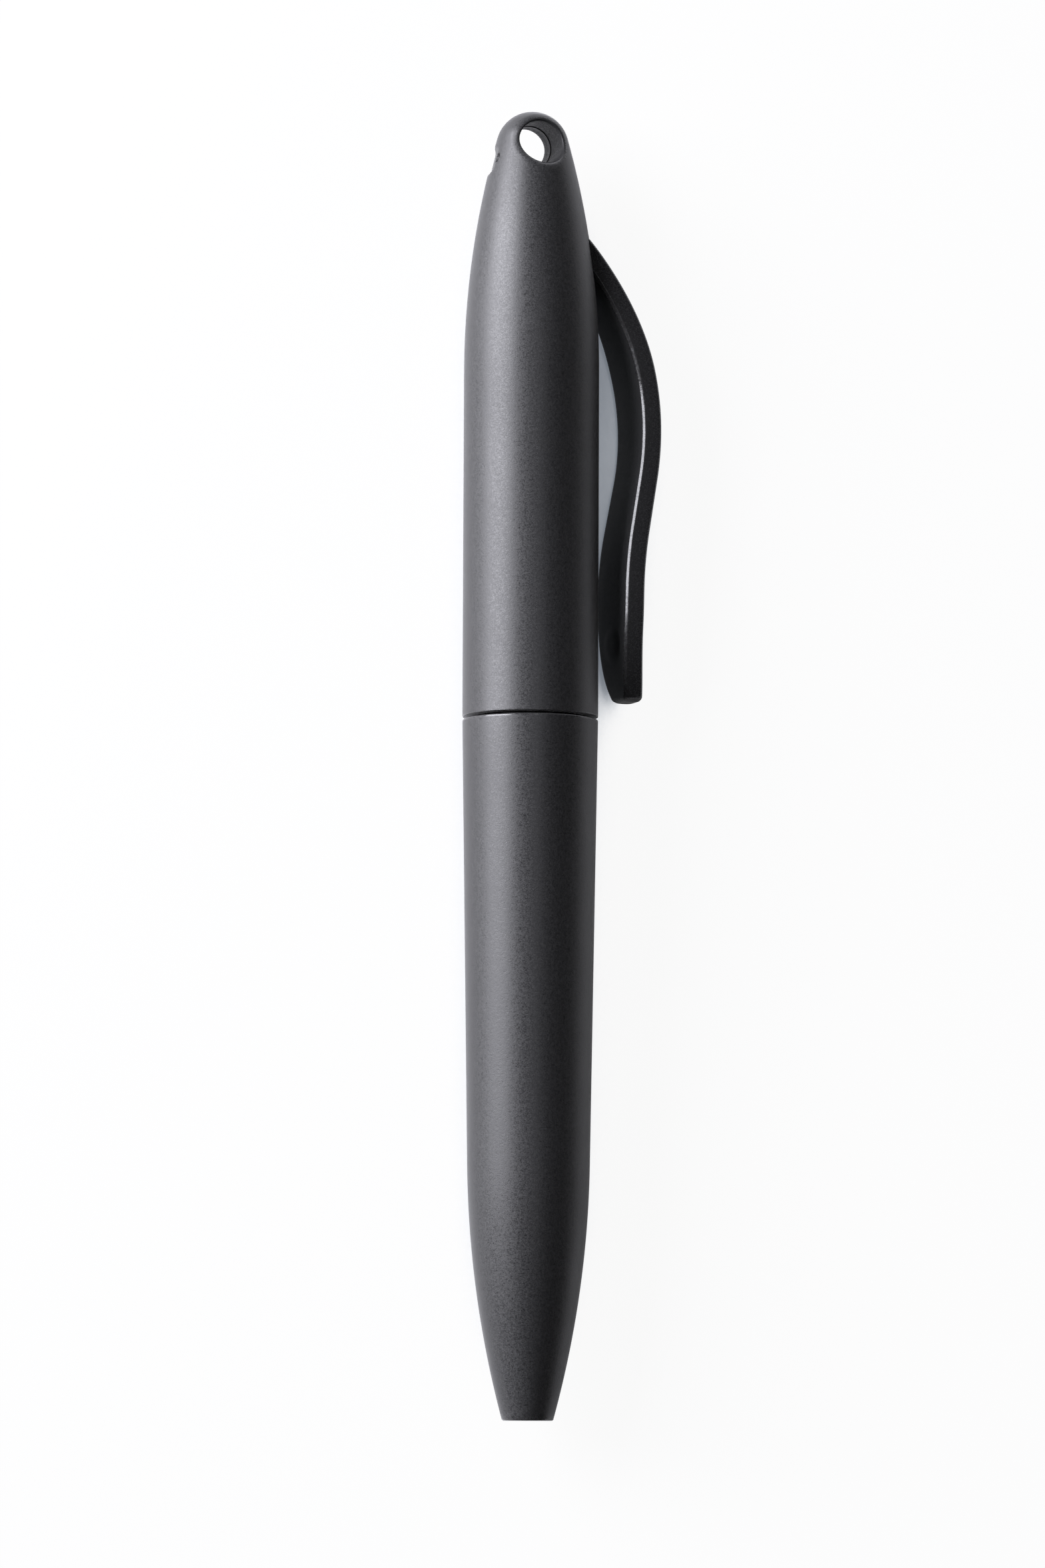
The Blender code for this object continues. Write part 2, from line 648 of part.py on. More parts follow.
def lay_down(pen):
    """Turn the pen on its side and set the origin at the middle of its footprint, on the ground."""
    pen.rotation_euler = (-math.pi / 2, PEN_ROLL, 0.0)
    crest_x = clip_crest_x()
    half = CLIP_WIDTH / 2
    right = crest_x * math.cos(PEN_ROLL) + (half - CLIP_EDGE) * math.sin(PEN_ROLL)
    edge = (crest_x - CLIP_EDGE) * math.sin(PEN_ROLL) + half * math.cos(PEN_ROLL)
    height = max(BARREL_R, edge)
    pen.location = ((BARREL_R - right) / 2 * MM, -PEN_LENGTH / 2 * MM, height * MM)


def clip_crest_x():
    """Distance of the clip's crest from the pen's axis."""
    return max(x for _, x, _, _ in clip_path(CLIP_FOOT))


def main():
    """Build every piece under one empty on the pen's axis, then lay the pen down."""
    clear_scene()
    pen = add_object("pen_axis", None, None)
    make_lower_barrel(pen)
    make_upper_barrel(pen)
    make_clip(pen)
    make_stem(pen)
    make_cam_sleeve(pen)
    make_plunger(pen)
    make_refill(pen)
    make_spring(pen)
    lay_down(pen)


main()
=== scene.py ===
"""Dresses a twist-action ballpoint pen around its CAD frame.

The pen's pieces are shaped in the pen's own frame, in millimetres: +Z runs along the pen from the nose's end
face to the domed rear end, and +X points to the clip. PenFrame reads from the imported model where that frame
lies, and carries every finished mesh there, in metres.
"""

import json
import logging
import math
from collections.abc import Mapping, Sequence
from dataclasses import dataclass
from enum import Enum
from typing import Any

import bmesh
import bpy
import numpy as np
from mathutils import Matrix, Vector

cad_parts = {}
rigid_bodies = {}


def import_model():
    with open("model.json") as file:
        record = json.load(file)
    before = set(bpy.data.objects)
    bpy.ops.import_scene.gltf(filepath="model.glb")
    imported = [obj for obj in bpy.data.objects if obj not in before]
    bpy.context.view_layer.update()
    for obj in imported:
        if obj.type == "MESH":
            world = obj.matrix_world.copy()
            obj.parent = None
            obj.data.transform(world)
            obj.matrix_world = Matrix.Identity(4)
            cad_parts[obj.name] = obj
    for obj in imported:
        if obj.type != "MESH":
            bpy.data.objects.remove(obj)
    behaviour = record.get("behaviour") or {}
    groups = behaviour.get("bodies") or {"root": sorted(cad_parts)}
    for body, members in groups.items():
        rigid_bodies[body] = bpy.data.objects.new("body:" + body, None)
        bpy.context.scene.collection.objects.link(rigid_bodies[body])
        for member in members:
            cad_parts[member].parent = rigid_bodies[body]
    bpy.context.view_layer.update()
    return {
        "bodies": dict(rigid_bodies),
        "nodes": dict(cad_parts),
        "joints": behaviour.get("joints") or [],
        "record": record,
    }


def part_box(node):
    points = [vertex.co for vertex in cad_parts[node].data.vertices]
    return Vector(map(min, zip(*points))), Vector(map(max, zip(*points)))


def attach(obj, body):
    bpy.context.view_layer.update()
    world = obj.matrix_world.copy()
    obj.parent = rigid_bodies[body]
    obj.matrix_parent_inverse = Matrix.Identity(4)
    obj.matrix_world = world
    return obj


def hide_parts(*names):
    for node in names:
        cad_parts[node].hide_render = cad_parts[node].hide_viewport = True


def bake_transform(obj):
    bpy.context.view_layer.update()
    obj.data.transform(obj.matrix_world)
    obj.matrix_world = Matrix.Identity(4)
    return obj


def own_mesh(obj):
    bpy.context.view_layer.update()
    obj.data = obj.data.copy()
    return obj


MM = 0.001
WELD_MM = 1e-4
SHARP_ANGLE = math.radians(32)
RIM_STEPS = 8
EDGE_STEPS = 4
FACE_STEPS = 14
TOP_STEPS = 4
FLARE_STEPS = 64
STRAIGHT_STEPS = 12
REVERSE_STEPS = 16
SLOPE_STEPS = 6
CREST_STEPS = 56
FOOT_STEPS = 4
WIRE_SIDES = 12
LOG = logging.getLogger("pen")

Outline = list[tuple[float, float]]
Point = tuple[float, float, float]
Station = tuple[float, float, float, float]
Colour = tuple[float, float, float]

WHITE: Colour = (1.0, 1.0, 1.0)


class Body(Enum):
    """The bodies of the pen that move against each other."""

    LOWER = "lower"
    UPPER = "upper"
    CLIP = "clip"
    REFILL = "refill"


class Slot(Enum):
    """The record's material slots."""

    BARREL = "barrel_plastic"
    CLIP = "clip_plastic"
    BRASS = "brass"
    RUBBER = "rubber"
    SPRING_STEEL = "spring_steel"
    SLEEVE = "sleeve_plastic"
    WHITE = "white_plastic"
    REFILL_STEEL = "refill_steel"
    INK = "ink"
    CARBIDE = "carbide"


class Field:
    """One output socket of a node tree; arithmetic on it adds Math nodes."""

    def __init__(self, sheet: "NodeSheet", socket: bpy.types.NodeSocket) -> None:
        """Wrap a socket of the sheet's tree."""
        self.sheet = sheet
        self.socket = socket

    def also(self, output: str | int) -> "Field":
        """Another output of the same node."""
        return Field(self.sheet, self.socket.node.outputs[output])

    def __add__(self, other: "Field | float") -> "Field":
        """Sum of two values."""
        return self.sheet.math("ADD", self, other)

    def __radd__(self, other: float) -> "Field":
        """Sum with a number on the left."""
        return self.sheet.math("ADD", other, self)

    def __sub__(self, other: "Field | float") -> "Field":
        """Difference of two values."""
        return self.sheet.math("SUBTRACT", self, other)

    def __rsub__(self, other: float) -> "Field":
        """Difference with a number on the left."""
        return self.sheet.math("SUBTRACT", other, self)

    def __mul__(self, other: "Field | float") -> "Field":
        """Product of two values."""
        return self.sheet.math("MULTIPLY", self, other)

    def __rmul__(self, other: float) -> "Field":
        """Product with a number on the left."""
        return self.sheet.math("MULTIPLY", other, self)

    def __truediv__(self, other: "Field | float") -> "Field":
        """Quotient of two values."""
        return self.sheet.math("DIVIDE", self, other)

    def __rtruediv__(self, other: float) -> "Field":
        """Quotient with a number on the left."""
        return self.sheet.math("DIVIDE", other, self)

    def __mod__(self, other: "Field | float") -> "Field":
        """Remainder of two values."""
        return self.sheet.math("FLOORED_MODULO", self, other)

    def __rmod__(self, other: float) -> "Field":
        """Remainder with a number on the left."""
        return self.sheet.math("FLOORED_MODULO", other, self)

    def __abs__(self) -> "Field":
        """Size of a value."""
        return self.sheet.math("ABSOLUTE", self)


class NodeSheet:
    """A shader or geometry node tree that expressions fill in."""

    def __init__(self, tree: bpy.types.NodeTree) -> None:
        """Start on a tree."""
        self.tree = tree

    def feed(self, socket: bpy.types.NodeSocket, value: Any) -> None:
        """Link a field to an input socket, or set the socket's own value."""
        if isinstance(value, Field):
            self.tree.links.new(value.socket, socket)
        else:
            socket.default_value = value

    def node(
        self,
        kind: str,
        settings: Mapping[str, Any] | None = None,
        sockets: Mapping[str | int, Any] | None = None,
        output: str | int = 0,
    ) -> Field:
        """Add a node.

        Args:
            kind: Blender's type name of the node.
            settings: The node's properties, which are set first.
            sockets: Values or fields of its input sockets, by name or place.
            output: Name or place of the output to hand back.

        Returns:
            That output.
        """
        made = self.tree.nodes.new(kind)
        for name, value in (settings or {}).items():
            setattr(made, name, value)
        for key, value in (sockets or {}).items():
            self.feed(made.inputs[key], value)
        return Field(self, made.outputs[output])

    def math(self, operation: str, *operands: Field | float) -> Field:
        """Add a Math node on up to three values."""
        return self.node("ShaderNodeMath", {"operation": operation}, dict(enumerate(operands)))

    def ramp(self, value: Field, low: float, high: float) -> Field:
        """Smooth step from 0 at low to 1 at high, or falling where low is the larger."""
        return self.node(
            "ShaderNodeMapRange",
            {"interpolation_type": "SMOOTHSTEP"},
            {"Value": value, "From Min": low, "From Max": high},
        )

    def noise(self, place: Field, size_mm: float, detail: float = 2.0, roughness: float = 0.5) -> Field:
        """Even noise whose features are about size_mm across."""
        sockets = {"Vector": place, "Scale": 1 / (size_mm * MM), "Detail": detail, "Roughness": roughness}
        return self.node("ShaderNodeTexNoise", None, sockets)

    def mix_colour(self, share: Field, first: Colour, second: Colour) -> Field:
        """Blend two colours by a share."""
        sockets = {0: share, 6: (*first, 1.0), 7: (*second, 1.0)}
        return self.node("ShaderNodeMix", {"data_type": "RGBA"}, sockets, 2)


@dataclass(frozen=True)
class Finish:
    """What every finish has: a name, a base colour and a roughness."""

    name: str
    colour: Colour
    roughness: float

    def material(self) -> bpy.types.Material:
        """Make the finish's material, once for each name.

        Returns:
            The material, with its node tree filled in by dress().
        """
        made = bpy.data.materials.get(self.name)
        if made:
            return made
        made = bpy.data.materials.new(self.name)
        made.use_nodes = True
        made.diffuse_color = (*self.colour, 1.0)
        self.dress(NodeSheet(made.node_tree), made.node_tree.nodes["Principled BSDF"])
        return made

    def dress(self, sheet: NodeSheet, shader: bpy.types.Node) -> None:
        """Feed the shader's sockets; each finish has its own way."""
        raise NotImplementedError


@dataclass(frozen=True)
class SatinPlastic(Finish):
    """Black moulded plastic with a fine satin texture, faint handling marks and a little dust."""

    dust: Colour = (0.30, 0.30, 0.30)
    gloss: float = 0.6
    coat: float = 0.8
    coat_roughness: float = 0.72
    sheen: float = 0.3
    sheen_roughness: float = 0.37
    grain_mm: float = 0.13
    grain_share: float = 1.3
    pebble_mm: float = 0.30
    pebble_share: float = 0.5
    coat_patch: float = 1.8
    dull_patch: float = 0.45
    bump_strength: float = 0.5
    bump_depth_mm: float = 0.016
    smudge_mm: float = 9.0
    smudge_dull: float = 0.12
    speck_pitch_mm: float = 2.6
    speck_mm: float = 0.055
    speck_pick: tuple[float, float] = (0.62, 0.66)
    speck_dust: float = 0.55
    speck_rise: float = 0.6
    scratch_mm: float = 4.0
    scratch_stretch: float = 0.35
    scratch_edge: tuple[float, float] = (0.0022, 0.0006)
    scratch_patch: tuple[float, float] = (0.58, 0.68)
    scratch_pale: float = 0.02
    scratch_cut: float = 0.04
    rim_pale: float = 0.05
    rim_polish: float = 0.3
    rim_smooth: float = 0.7

    def dress(self, sheet: NodeSheet, shader: bpy.types.Node) -> None:
        """Grain in the coat, roughness and bump; smudges in the roughness; marks and rims in the colour."""
        place = sheet.node("ShaderNodeTexCoord", output="Object")
        rim = sheet.node("ShaderNodeAttribute", {"attribute_name": "rim"}, output="Fac")
        grain = sheet.noise(place, self.grain_mm, 2.0)
        pebble = sheet.noise(place, self.pebble_mm, 1.0)
        patch = (grain - 0.5) * self.grain_share + (pebble - 0.5) * self.pebble_share
        smudge = sheet.noise(place, self.smudge_mm, 3.0)
        speck = self._specks(sheet, place)
        hairline = self._hairlines(sheet, place)
        shader.inputs["Specular IOR Level"].default_value = self.gloss
        shader.inputs["Coat Roughness"].default_value = self.coat_roughness
        shader.inputs["Sheen Weight"].default_value = self.sheen
        shader.inputs["Sheen Roughness"].default_value = self.sheen_roughness
        if self.coat_patch:
            coat = patch * self.coat_patch + self.coat
            sheet.feed(shader.inputs["Coat Weight"], sheet.math("MAXIMUM", coat, 0.0))
        else:
            shader.inputs["Coat Weight"].default_value = self.coat
        marks = speck * self.speck_dust + hairline * self.scratch_pale + rim * self.rim_pale
        sheet.feed(shader.inputs["Base Color"], sheet.mix_colour(marks, self.colour, self.dust))
        worn = hairline * self.scratch_pale + rim * self.rim_polish
        roughness = self.roughness + (smudge - 0.5) * self.smudge_dull + patch * self.dull_patch - worn
        sheet.feed(shader.inputs["Roughness"], roughness)
        texture = (grain + pebble) * (1.0 - rim * self.rim_smooth)
        bump = {
            "Strength": self.bump_strength,
            "Distance": self.bump_depth_mm * MM,
            "Height": texture + speck * self.speck_rise - hairline * self.scratch_cut,
        }
        sheet.feed(shader.inputs["Normal"], sheet.node("ShaderNodeBump", None, bump))

    def _specks(self, sheet: NodeSheet, place: Field) -> Field:
        """Small dust specks in a few of the cells of a Voronoi pattern."""
        scale = 1 / (self.speck_pitch_mm * MM)
        cell = sheet.node("ShaderNodeTexVoronoi", None, {"Vector": place, "Scale": scale}, "Distance")
        pick = sheet.node("ShaderNodeSeparateColor", None, {"Color": cell.also("Color")}, "Red")
        size = self.speck_mm / self.speck_pitch_mm
        return sheet.ramp(cell, size, size / 2) * sheet.ramp(pick, *self.speck_pick)

    def _hairlines(self, sheet: NodeSheet, place: Field) -> Field:
        """Thin curved hairlines, where a stretched noise crosses its middle, in scattered patches."""
        stretch = (1.0, self.scratch_stretch, 1.0)
        turned = sheet.node("ShaderNodeMapping", None, {"Vector": place, "Scale": stretch})
        wave = sheet.noise(turned, self.scratch_mm, 1.0)
        patch = sheet.noise(place, self.scratch_mm * self.scratch_stretch, 2.0)
        return sheet.ramp(abs(wave - 0.5), *self.scratch_edge) * sheet.ramp(patch, *self.scratch_patch)


@dataclass(frozen=True)
class TurnedMetal(Finish):
    """Metal turned or drawn on the pen's axis, with fine rings along it and a mottled tarnish."""

    tarnish: Colour = (0.3, 0.3, 0.3)
    ring_mm: float = 0.09
    ring_depth: float = 0.25
    ring_height_mm: float = 0.006
    ring_dull: float = 0.16
    stain_mm: float = 2.4
    stain_edge: tuple[float, float] = (0.48, 0.75)
    stain_share: float = 0.55
    stain_dull: float = 0.14

    def dress(self, sheet: NodeSheet, shader: bpy.types.Node) -> None:
        """Rings in the bump and roughness, tarnish in the colour."""
        place = sheet.node("ShaderNodeTexCoord", output="Object")
        along = sheet.node("ShaderNodeSeparateXYZ", None, {"Vector": place}, "Y")
        lines = {"W": along, "Scale": 1 / (self.ring_mm * MM), "Detail": 2.0}
        ring = sheet.node("ShaderNodeTexNoise", {"noise_dimensions": "1D"}, lines)
        stain = sheet.ramp(sheet.noise(place, self.stain_mm, 4.0, 0.6), *self.stain_edge)
        colour = sheet.mix_colour(stain * self.stain_share, self.colour, self.tarnish)
        shader.inputs["Metallic"].default_value = 1.0
        sheet.feed(shader.inputs["Base Color"], colour)
        roughness = self.roughness + (ring - 0.5) * self.ring_dull + stain * self.stain_dull
        sheet.feed(shader.inputs["Roughness"], roughness)
        bump = {"Strength": self.ring_depth, "Distance": self.ring_height_mm * MM, "Height": ring}
        sheet.feed(shader.inputs["Normal"], sheet.node("ShaderNodeBump", None, bump))


@dataclass(frozen=True)
class PlainMoulding(Finish):
    """Moulded plastic of the inner parts, with flow marks and a light grain."""

    shade: Colour = (0.5, 0.5, 0.5)
    flow_mm: float = 2.2
    flow_stretch: float = 0.25
    flow_share: float = 0.35
    flow_dull: float = 0.16
    grain_mm: float = 0.12
    bump_strength: float = 0.15
    bump_depth_mm: float = 0.01

    def dress(self, sheet: NodeSheet, shader: bpy.types.Node) -> None:
        """Flow marks in the colour and roughness, grain in the bump."""
        place = sheet.node("ShaderNodeTexCoord", output="Object")
        stretch = (1.0, self.flow_stretch, 1.0)
        drawn = sheet.node("ShaderNodeMapping", None, {"Vector": place, "Scale": stretch})
        flow = sheet.noise(drawn, self.flow_mm, 3.0)
        grain = sheet.noise(place, self.grain_mm, 2.0)
        colour = sheet.mix_colour(flow * self.flow_share, self.colour, self.shade)
        sheet.feed(shader.inputs["Base Color"], colour)
        sheet.feed(shader.inputs["Roughness"], self.roughness + (flow - 0.5) * self.flow_dull)
        bump = {
            "Strength": self.bump_strength,
            "Distance": self.bump_depth_mm * MM,
            "Height": grain + flow / 2.0,
        }
        sheet.feed(shader.inputs["Normal"], sheet.node("ShaderNodeBump", None, bump))


@dataclass(frozen=True)
class SoftRubber(Finish):
    """Dull rubber with talc in its pores."""

    talc: Colour = (0.16, 0.16, 0.155)
    talc_mm: float = 0.9
    talc_edge: tuple[float, float] = (0.5, 0.75)
    talc_share: float = 0.5
    pore_mm: float = 0.10
    pore_dull: float = 0.15
    bump_strength: float = 0.4
    bump_depth_mm: float = 0.02

    def dress(self, sheet: NodeSheet, shader: bpy.types.Node) -> None:
        """Pores in the bump, talc in the colour."""
        place = sheet.node("ShaderNodeTexCoord", output="Object")
        pores = sheet.noise(place, self.pore_mm, 4.0, 0.7)
        powder = sheet.ramp(sheet.noise(place, self.talc_mm, 3.0), *self.talc_edge)
        colour = sheet.mix_colour(powder * self.talc_share, self.colour, self.talc)
        sheet.feed(shader.inputs["Base Color"], colour)
        sheet.feed(shader.inputs["Roughness"], self.roughness + (pores - 0.5) * self.pore_dull)
        bump = {"Strength": self.bump_strength, "Distance": self.bump_depth_mm * MM, "Height": pores}
        sheet.feed(shader.inputs["Normal"], sheet.node("ShaderNodeBump", None, bump))


@dataclass(frozen=True)
class WetInk(Finish):
    """Thick ink, with streaks where it has drained along its tube."""

    streak: Colour = (0.04, 0.05, 0.22)
    streak_mm: float = 0.8
    streak_stretch: float = 0.08
    streak_edge: tuple[float, float] = (0.4, 0.7)
    streak_share: float = 0.4
    streak_dull: float = 0.12

    def dress(self, sheet: NodeSheet, shader: bpy.types.Node) -> None:
        """Streaks along the pen in the colour and the gloss."""
        place = sheet.node("ShaderNodeTexCoord", output="Object")
        stretch = (1.0, self.streak_stretch, 1.0)
        drawn = sheet.node("ShaderNodeMapping", None, {"Vector": place, "Scale": stretch})
        streaks = sheet.ramp(sheet.noise(drawn, self.streak_mm, 3.0), *self.streak_edge)
        colour = sheet.mix_colour(streaks * self.streak_share, self.colour, self.streak)
        sheet.feed(shader.inputs["Base Color"], colour)
        sheet.feed(shader.inputs["Roughness"], self.roughness + streaks * self.streak_dull)


@dataclass(frozen=True)
class PaleFloor(Finish):
    """White studio floor that stays white to the eye and keeps a shadow, with painted shade deepest where it
    is closed in.
    """

    glow_share: float = 0.94
    mirror_share: float = 0.18
    cloud: Colour = (0.90, 0.90, 0.905)
    cloud_mm: float = 1.5
    # Painted shade: how far ambient occlusion looks, where it starts and ends, how deep it cuts the glow, and
    # the glow's blue-grey tint there.
    shade_reach_mm: float = 12.0
    shade_rays: int = 12
    shade_open: float = 0.50
    shade_closed: float = 0.29
    shade_depth: float = 0.80
    shade_tone: Colour = (0.86, 0.96, 1.10)

    def dress(self, sheet: NodeSheet, shader: bpy.types.Node) -> None:
        """Mix some plain white into what the camera and reflections see of the floor."""
        place = sheet.node("ShaderNodeTexCoord", output="Object")
        fibre = sheet.noise(place, self.cloud_mm, 3.0)
        sheet.feed(shader.inputs["Base Color"], sheet.mix_colour(fibre, self.colour, self.cloud))
        shader.inputs["Roughness"].default_value = self.roughness
        shader.inputs["Specular IOR Level"].default_value = 0.0
        path = sheet.node("ShaderNodeLightPath", output="Is Camera Ray")
        mirrored = sheet.math("MAXIMUM", path.also("Is Glossy Ray"), path.also("Is Transmission Ray"))
        # Painted shade: where ambient occlusion finds the floor closed in, less white glow is mixed in, so
        # the lit floor's own shadow shows, and the glow left there is tinted blue-grey.
        reach = {"Distance": self.shade_reach_mm * MM}
        sky = sheet.node("ShaderNodeAmbientOcclusion", {"samples": self.shade_rays}, reach, "AO")
        shade = sheet.ramp(sky, self.shade_open, self.shade_closed)
        white = sheet.math("MINIMUM", path * self.glow_share + mirrored * self.mirror_share, 1.0)
        share = white * (1.0 - shade * self.shade_depth)
        tone = sheet.mix_colour(shade, WHITE, self.shade_tone)
        glow = sheet.node("ShaderNodeEmission", None, {"Color": tone, "Strength": 1.0})
        lit = Field(sheet, shader.outputs[0])
        both = sheet.node("ShaderNodeMixShader", None, {0: share, 1: lit, 2: glow})
        sheet.feed(sheet.tree.nodes["Material Output"].inputs["Surface"], both)


BLACK_SATIN = SatinPlastic("black_satin_plastic", (0.012, 0.012, 0.013), 0.46)
# Painted shade: a duller copy of the black satin, without coat or sheen, that darkens the eye's wall and the
# gate's slit.
SHADED_BORE_SATIN = SatinPlastic(
    "shaded_bore_plastic",
    (0.012, 0.012, 0.013),
    0.55,
    rim_polish=0.1,
    gloss=0.4,
    coat=0.0,
    coat_patch=0.0,
    sheen=0.0,
)
TURNED_BRASS = TurnedMetal("turned_brass", (0.70, 0.52, 0.22), 0.30, tarnish=(0.42, 0.27, 0.10))
SATIN_STEEL = TurnedMetal("satin_steel", (0.62, 0.62, 0.64), 0.26, tarnish=(0.44, 0.43, 0.41))
DRAWN_STEEL = TurnedMetal("drawn_spring_steel", (0.58, 0.58, 0.60), 0.30, tarnish=(0.36, 0.34, 0.31))
POLISHED_CARBIDE = TurnedMetal("polished_carbide", (0.45, 0.45, 0.47), 0.12, (0.36, 0.36, 0.38), 0.05, 0.1)
DARK_SLEEVE = PlainMoulding("dark_sleeve_plastic", (0.03, 0.03, 0.032), 0.6, shade=(0.02, 0.02, 0.022))
WHITE_NYLON = PlainMoulding("white_nylon", (0.78, 0.78, 0.76), 0.40, shade=(0.68, 0.67, 0.63))
BLACK_RUBBER = SoftRubber("black_rubber", (0.02, 0.02, 0.02), 0.80)
BLUE_INK = WetInk("blue_ink", (0.01, 0.015, 0.09), 0.18)
STUDIO_FLOOR = PaleFloor("pale_floor", (0.92, 0.92, 0.92), 0.9)


@dataclass(frozen=True)
class PenFrame:
    """Where the pen lies in the row frame: its nose, and the directions of its own axes."""

    nose: Vector
    to_clip: Vector
    across: Vector
    along: Vector

    @classmethod
    def from_cad(cls, frame: Mapping[str, Any]) -> "PenFrame":
        """Read the pen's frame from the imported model.


        Returns:
            The frame, from the lower barrel's box and the clip's bending line.
        """
        low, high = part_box("lower_barrel")
        middle = (low + high) / 2
        flex = next(joint for joint in frame["joints"] if joint["name"] == "clip_flex")
        along = Vector((0.0, 1.0, 0.0))
        across = -Vector(flex["axis"]).normalized()
        return cls(Vector((middle.x, low.y, middle.z)), across.cross(along), across, along)

    def matrix(self) -> Matrix:
        """Matrix from the pen's frame in millimetres to the row frame in metres."""
        turn = Matrix((self.to_clip, self.across, self.along)).transposed()
        return Matrix.Translation(self.nose) @ turn.to_4x4() @ Matrix.Scale(MM, 4)

    def point(self, x: float, y: float, z: float) -> Vector:
        """A point of the pen's frame, in the row frame."""
        return self.matrix() @ Vector((x, y, z))


class NodeRecipe:
    """A Geometry Nodes tree with named inputs, run once for each mesh that it makes."""

    def __init__(self, name: str, inputs: Mapping[str, str]) -> None:
        """Start a tree.

        Args:
            name: Name of the tree.
            inputs: Socket type of each named input.
        """
        self.tree = bpy.data.node_groups.new(name, "GeometryNodeTree")
        self.sheet = NodeSheet(self.tree)
        every = {"Base": "NodeSocketGeometry", "Finish": "NodeSocketMaterial", **inputs}
        for label, kind in every.items():
            self.tree.interface.new_socket(label, in_out="INPUT", socket_type=kind)
        self.tree.interface.new_socket("Made", in_out="OUTPUT", socket_type="NodeSocketGeometry")
        self.inlets = self.tree.nodes.new("NodeGroupInput").outputs

    def inlet(self, name: str) -> Field:
        """One of the tree's named inputs."""
        return Field(self.sheet, self.inlets[name])

    def end_with(self, geometry: Field) -> None:
        """Close the tree with plain geometry that has its material."""
        plain = self.sheet.node("GeometryNodeRealizeInstances", None, {"Geometry": geometry})
        sockets = {"Geometry": plain, "Material": self.inlet("Finish")}
        painted = self.sheet.node("GeometryNodeSetMaterial", None, sockets)
        self.sheet.feed(self.tree.nodes.new("NodeGroupOutput").inputs["Made"], painted)

    def run(self, name: str, base: bpy.types.Mesh, finish: Finish, **values: float) -> bpy.types.Mesh:
        """Run the tree on a base mesh.

        Args:
            name: Name of the mesh to make.
            base: Mesh that the tree starts from.
            finish: Finish of the made faces.
            values: The tree's named inputs, with spaces in their names as underscores.

        Returns:
            The made mesh, free of the tree.
        """
        holder = bpy.data.objects.new(name + "_base", base)
        bpy.context.scene.collection.objects.link(holder)
        modifier = holder.modifiers.new(self.tree.name, "NODES")
        modifier.node_group = self.tree
        wanted = {label.replace("_", " "): value for label, value in values.items()}
        wanted["Finish"] = finish.material()
        for item in self.tree.interface.items_tree:
            if item.in_out == "INPUT" and item.name in wanted:
                modifier[item.identifier] = wanted[item.name]
        graph = bpy.context.evaluated_depsgraph_get()
        made = bpy.data.meshes.new_from_object(holder.evaluated_get(graph))
        made.name = name
        bpy.data.objects.remove(holder)
        bpy.data.meshes.remove(base)
        return made


class Lathe(NodeRecipe):
    """Turns an outline of (radius, height) points about the pen's axis."""

    def __init__(self) -> None:
        """Lay a grid of rows and sides, and set each of its points on the turned outline."""
        super().__init__("turned_on_axis", {"Sides": "NodeSocketInt", "Weld": "NodeSocketFloat"})
        sheet = self.sheet
        outline = self.inlet("Base")
        sides = self.inlet("Sides")
        rows = sheet.node("GeometryNodeAttributeDomainSize", None, {"Geometry": outline}, "Point Count")
        grid = sheet.node("GeometryNodeMeshGrid", None, {"Vertices X": sides + 1.0, "Vertices Y": rows})
        index = sheet.node("GeometryNodeInputIndex")
        angle = sheet.math("FLOOR", index / rows) / sides * math.tau
        position = sheet.node("GeometryNodeInputPosition")
        sample = {"Geometry": outline, "Value": position, "Index": index % rows}
        spot = sheet.node("GeometryNodeSampleIndex", {"data_type": "FLOAT_VECTOR"}, sample)
        radius = sheet.node("ShaderNodeSeparateXYZ", None, {"Vector": spot}, "X")
        x = radius * sheet.math("COSINE", angle)
        y = radius * sheet.math("SINE", angle)
        turned = sheet.node("ShaderNodeCombineXYZ", None, {"X": x, "Y": y, "Z": radius.also("Z")})
        skin = sheet.node("GeometryNodeSetPosition", None, {"Geometry": grid, "Position": turned})
        joined = {"Geometry": skin, "Distance": self.inlet("Weld")}
        self.end_with(sheet.node("GeometryNodeMergeByDistance", None, joined))

    def turn(self, name: str, outline: Outline, sides: int, finish: Finish) -> bpy.types.Mesh:
        """Turn one outline.

        Args:
            name: Name of the mesh.
            outline: Points of (radius, height) in millimetres, in order.
            sides: Number of sides round the axis.
            finish: Finish of the piece.

        Returns:
            The turned mesh, in the pen's frame.
        """
        base = bpy.data.meshes.new(name + "_outline")
        base.from_pydata([(r, 0.0, z) for r, z in outline], [], [])
        return self.run(name, base, finish, Sides=sides, Weld=WELD_MM)


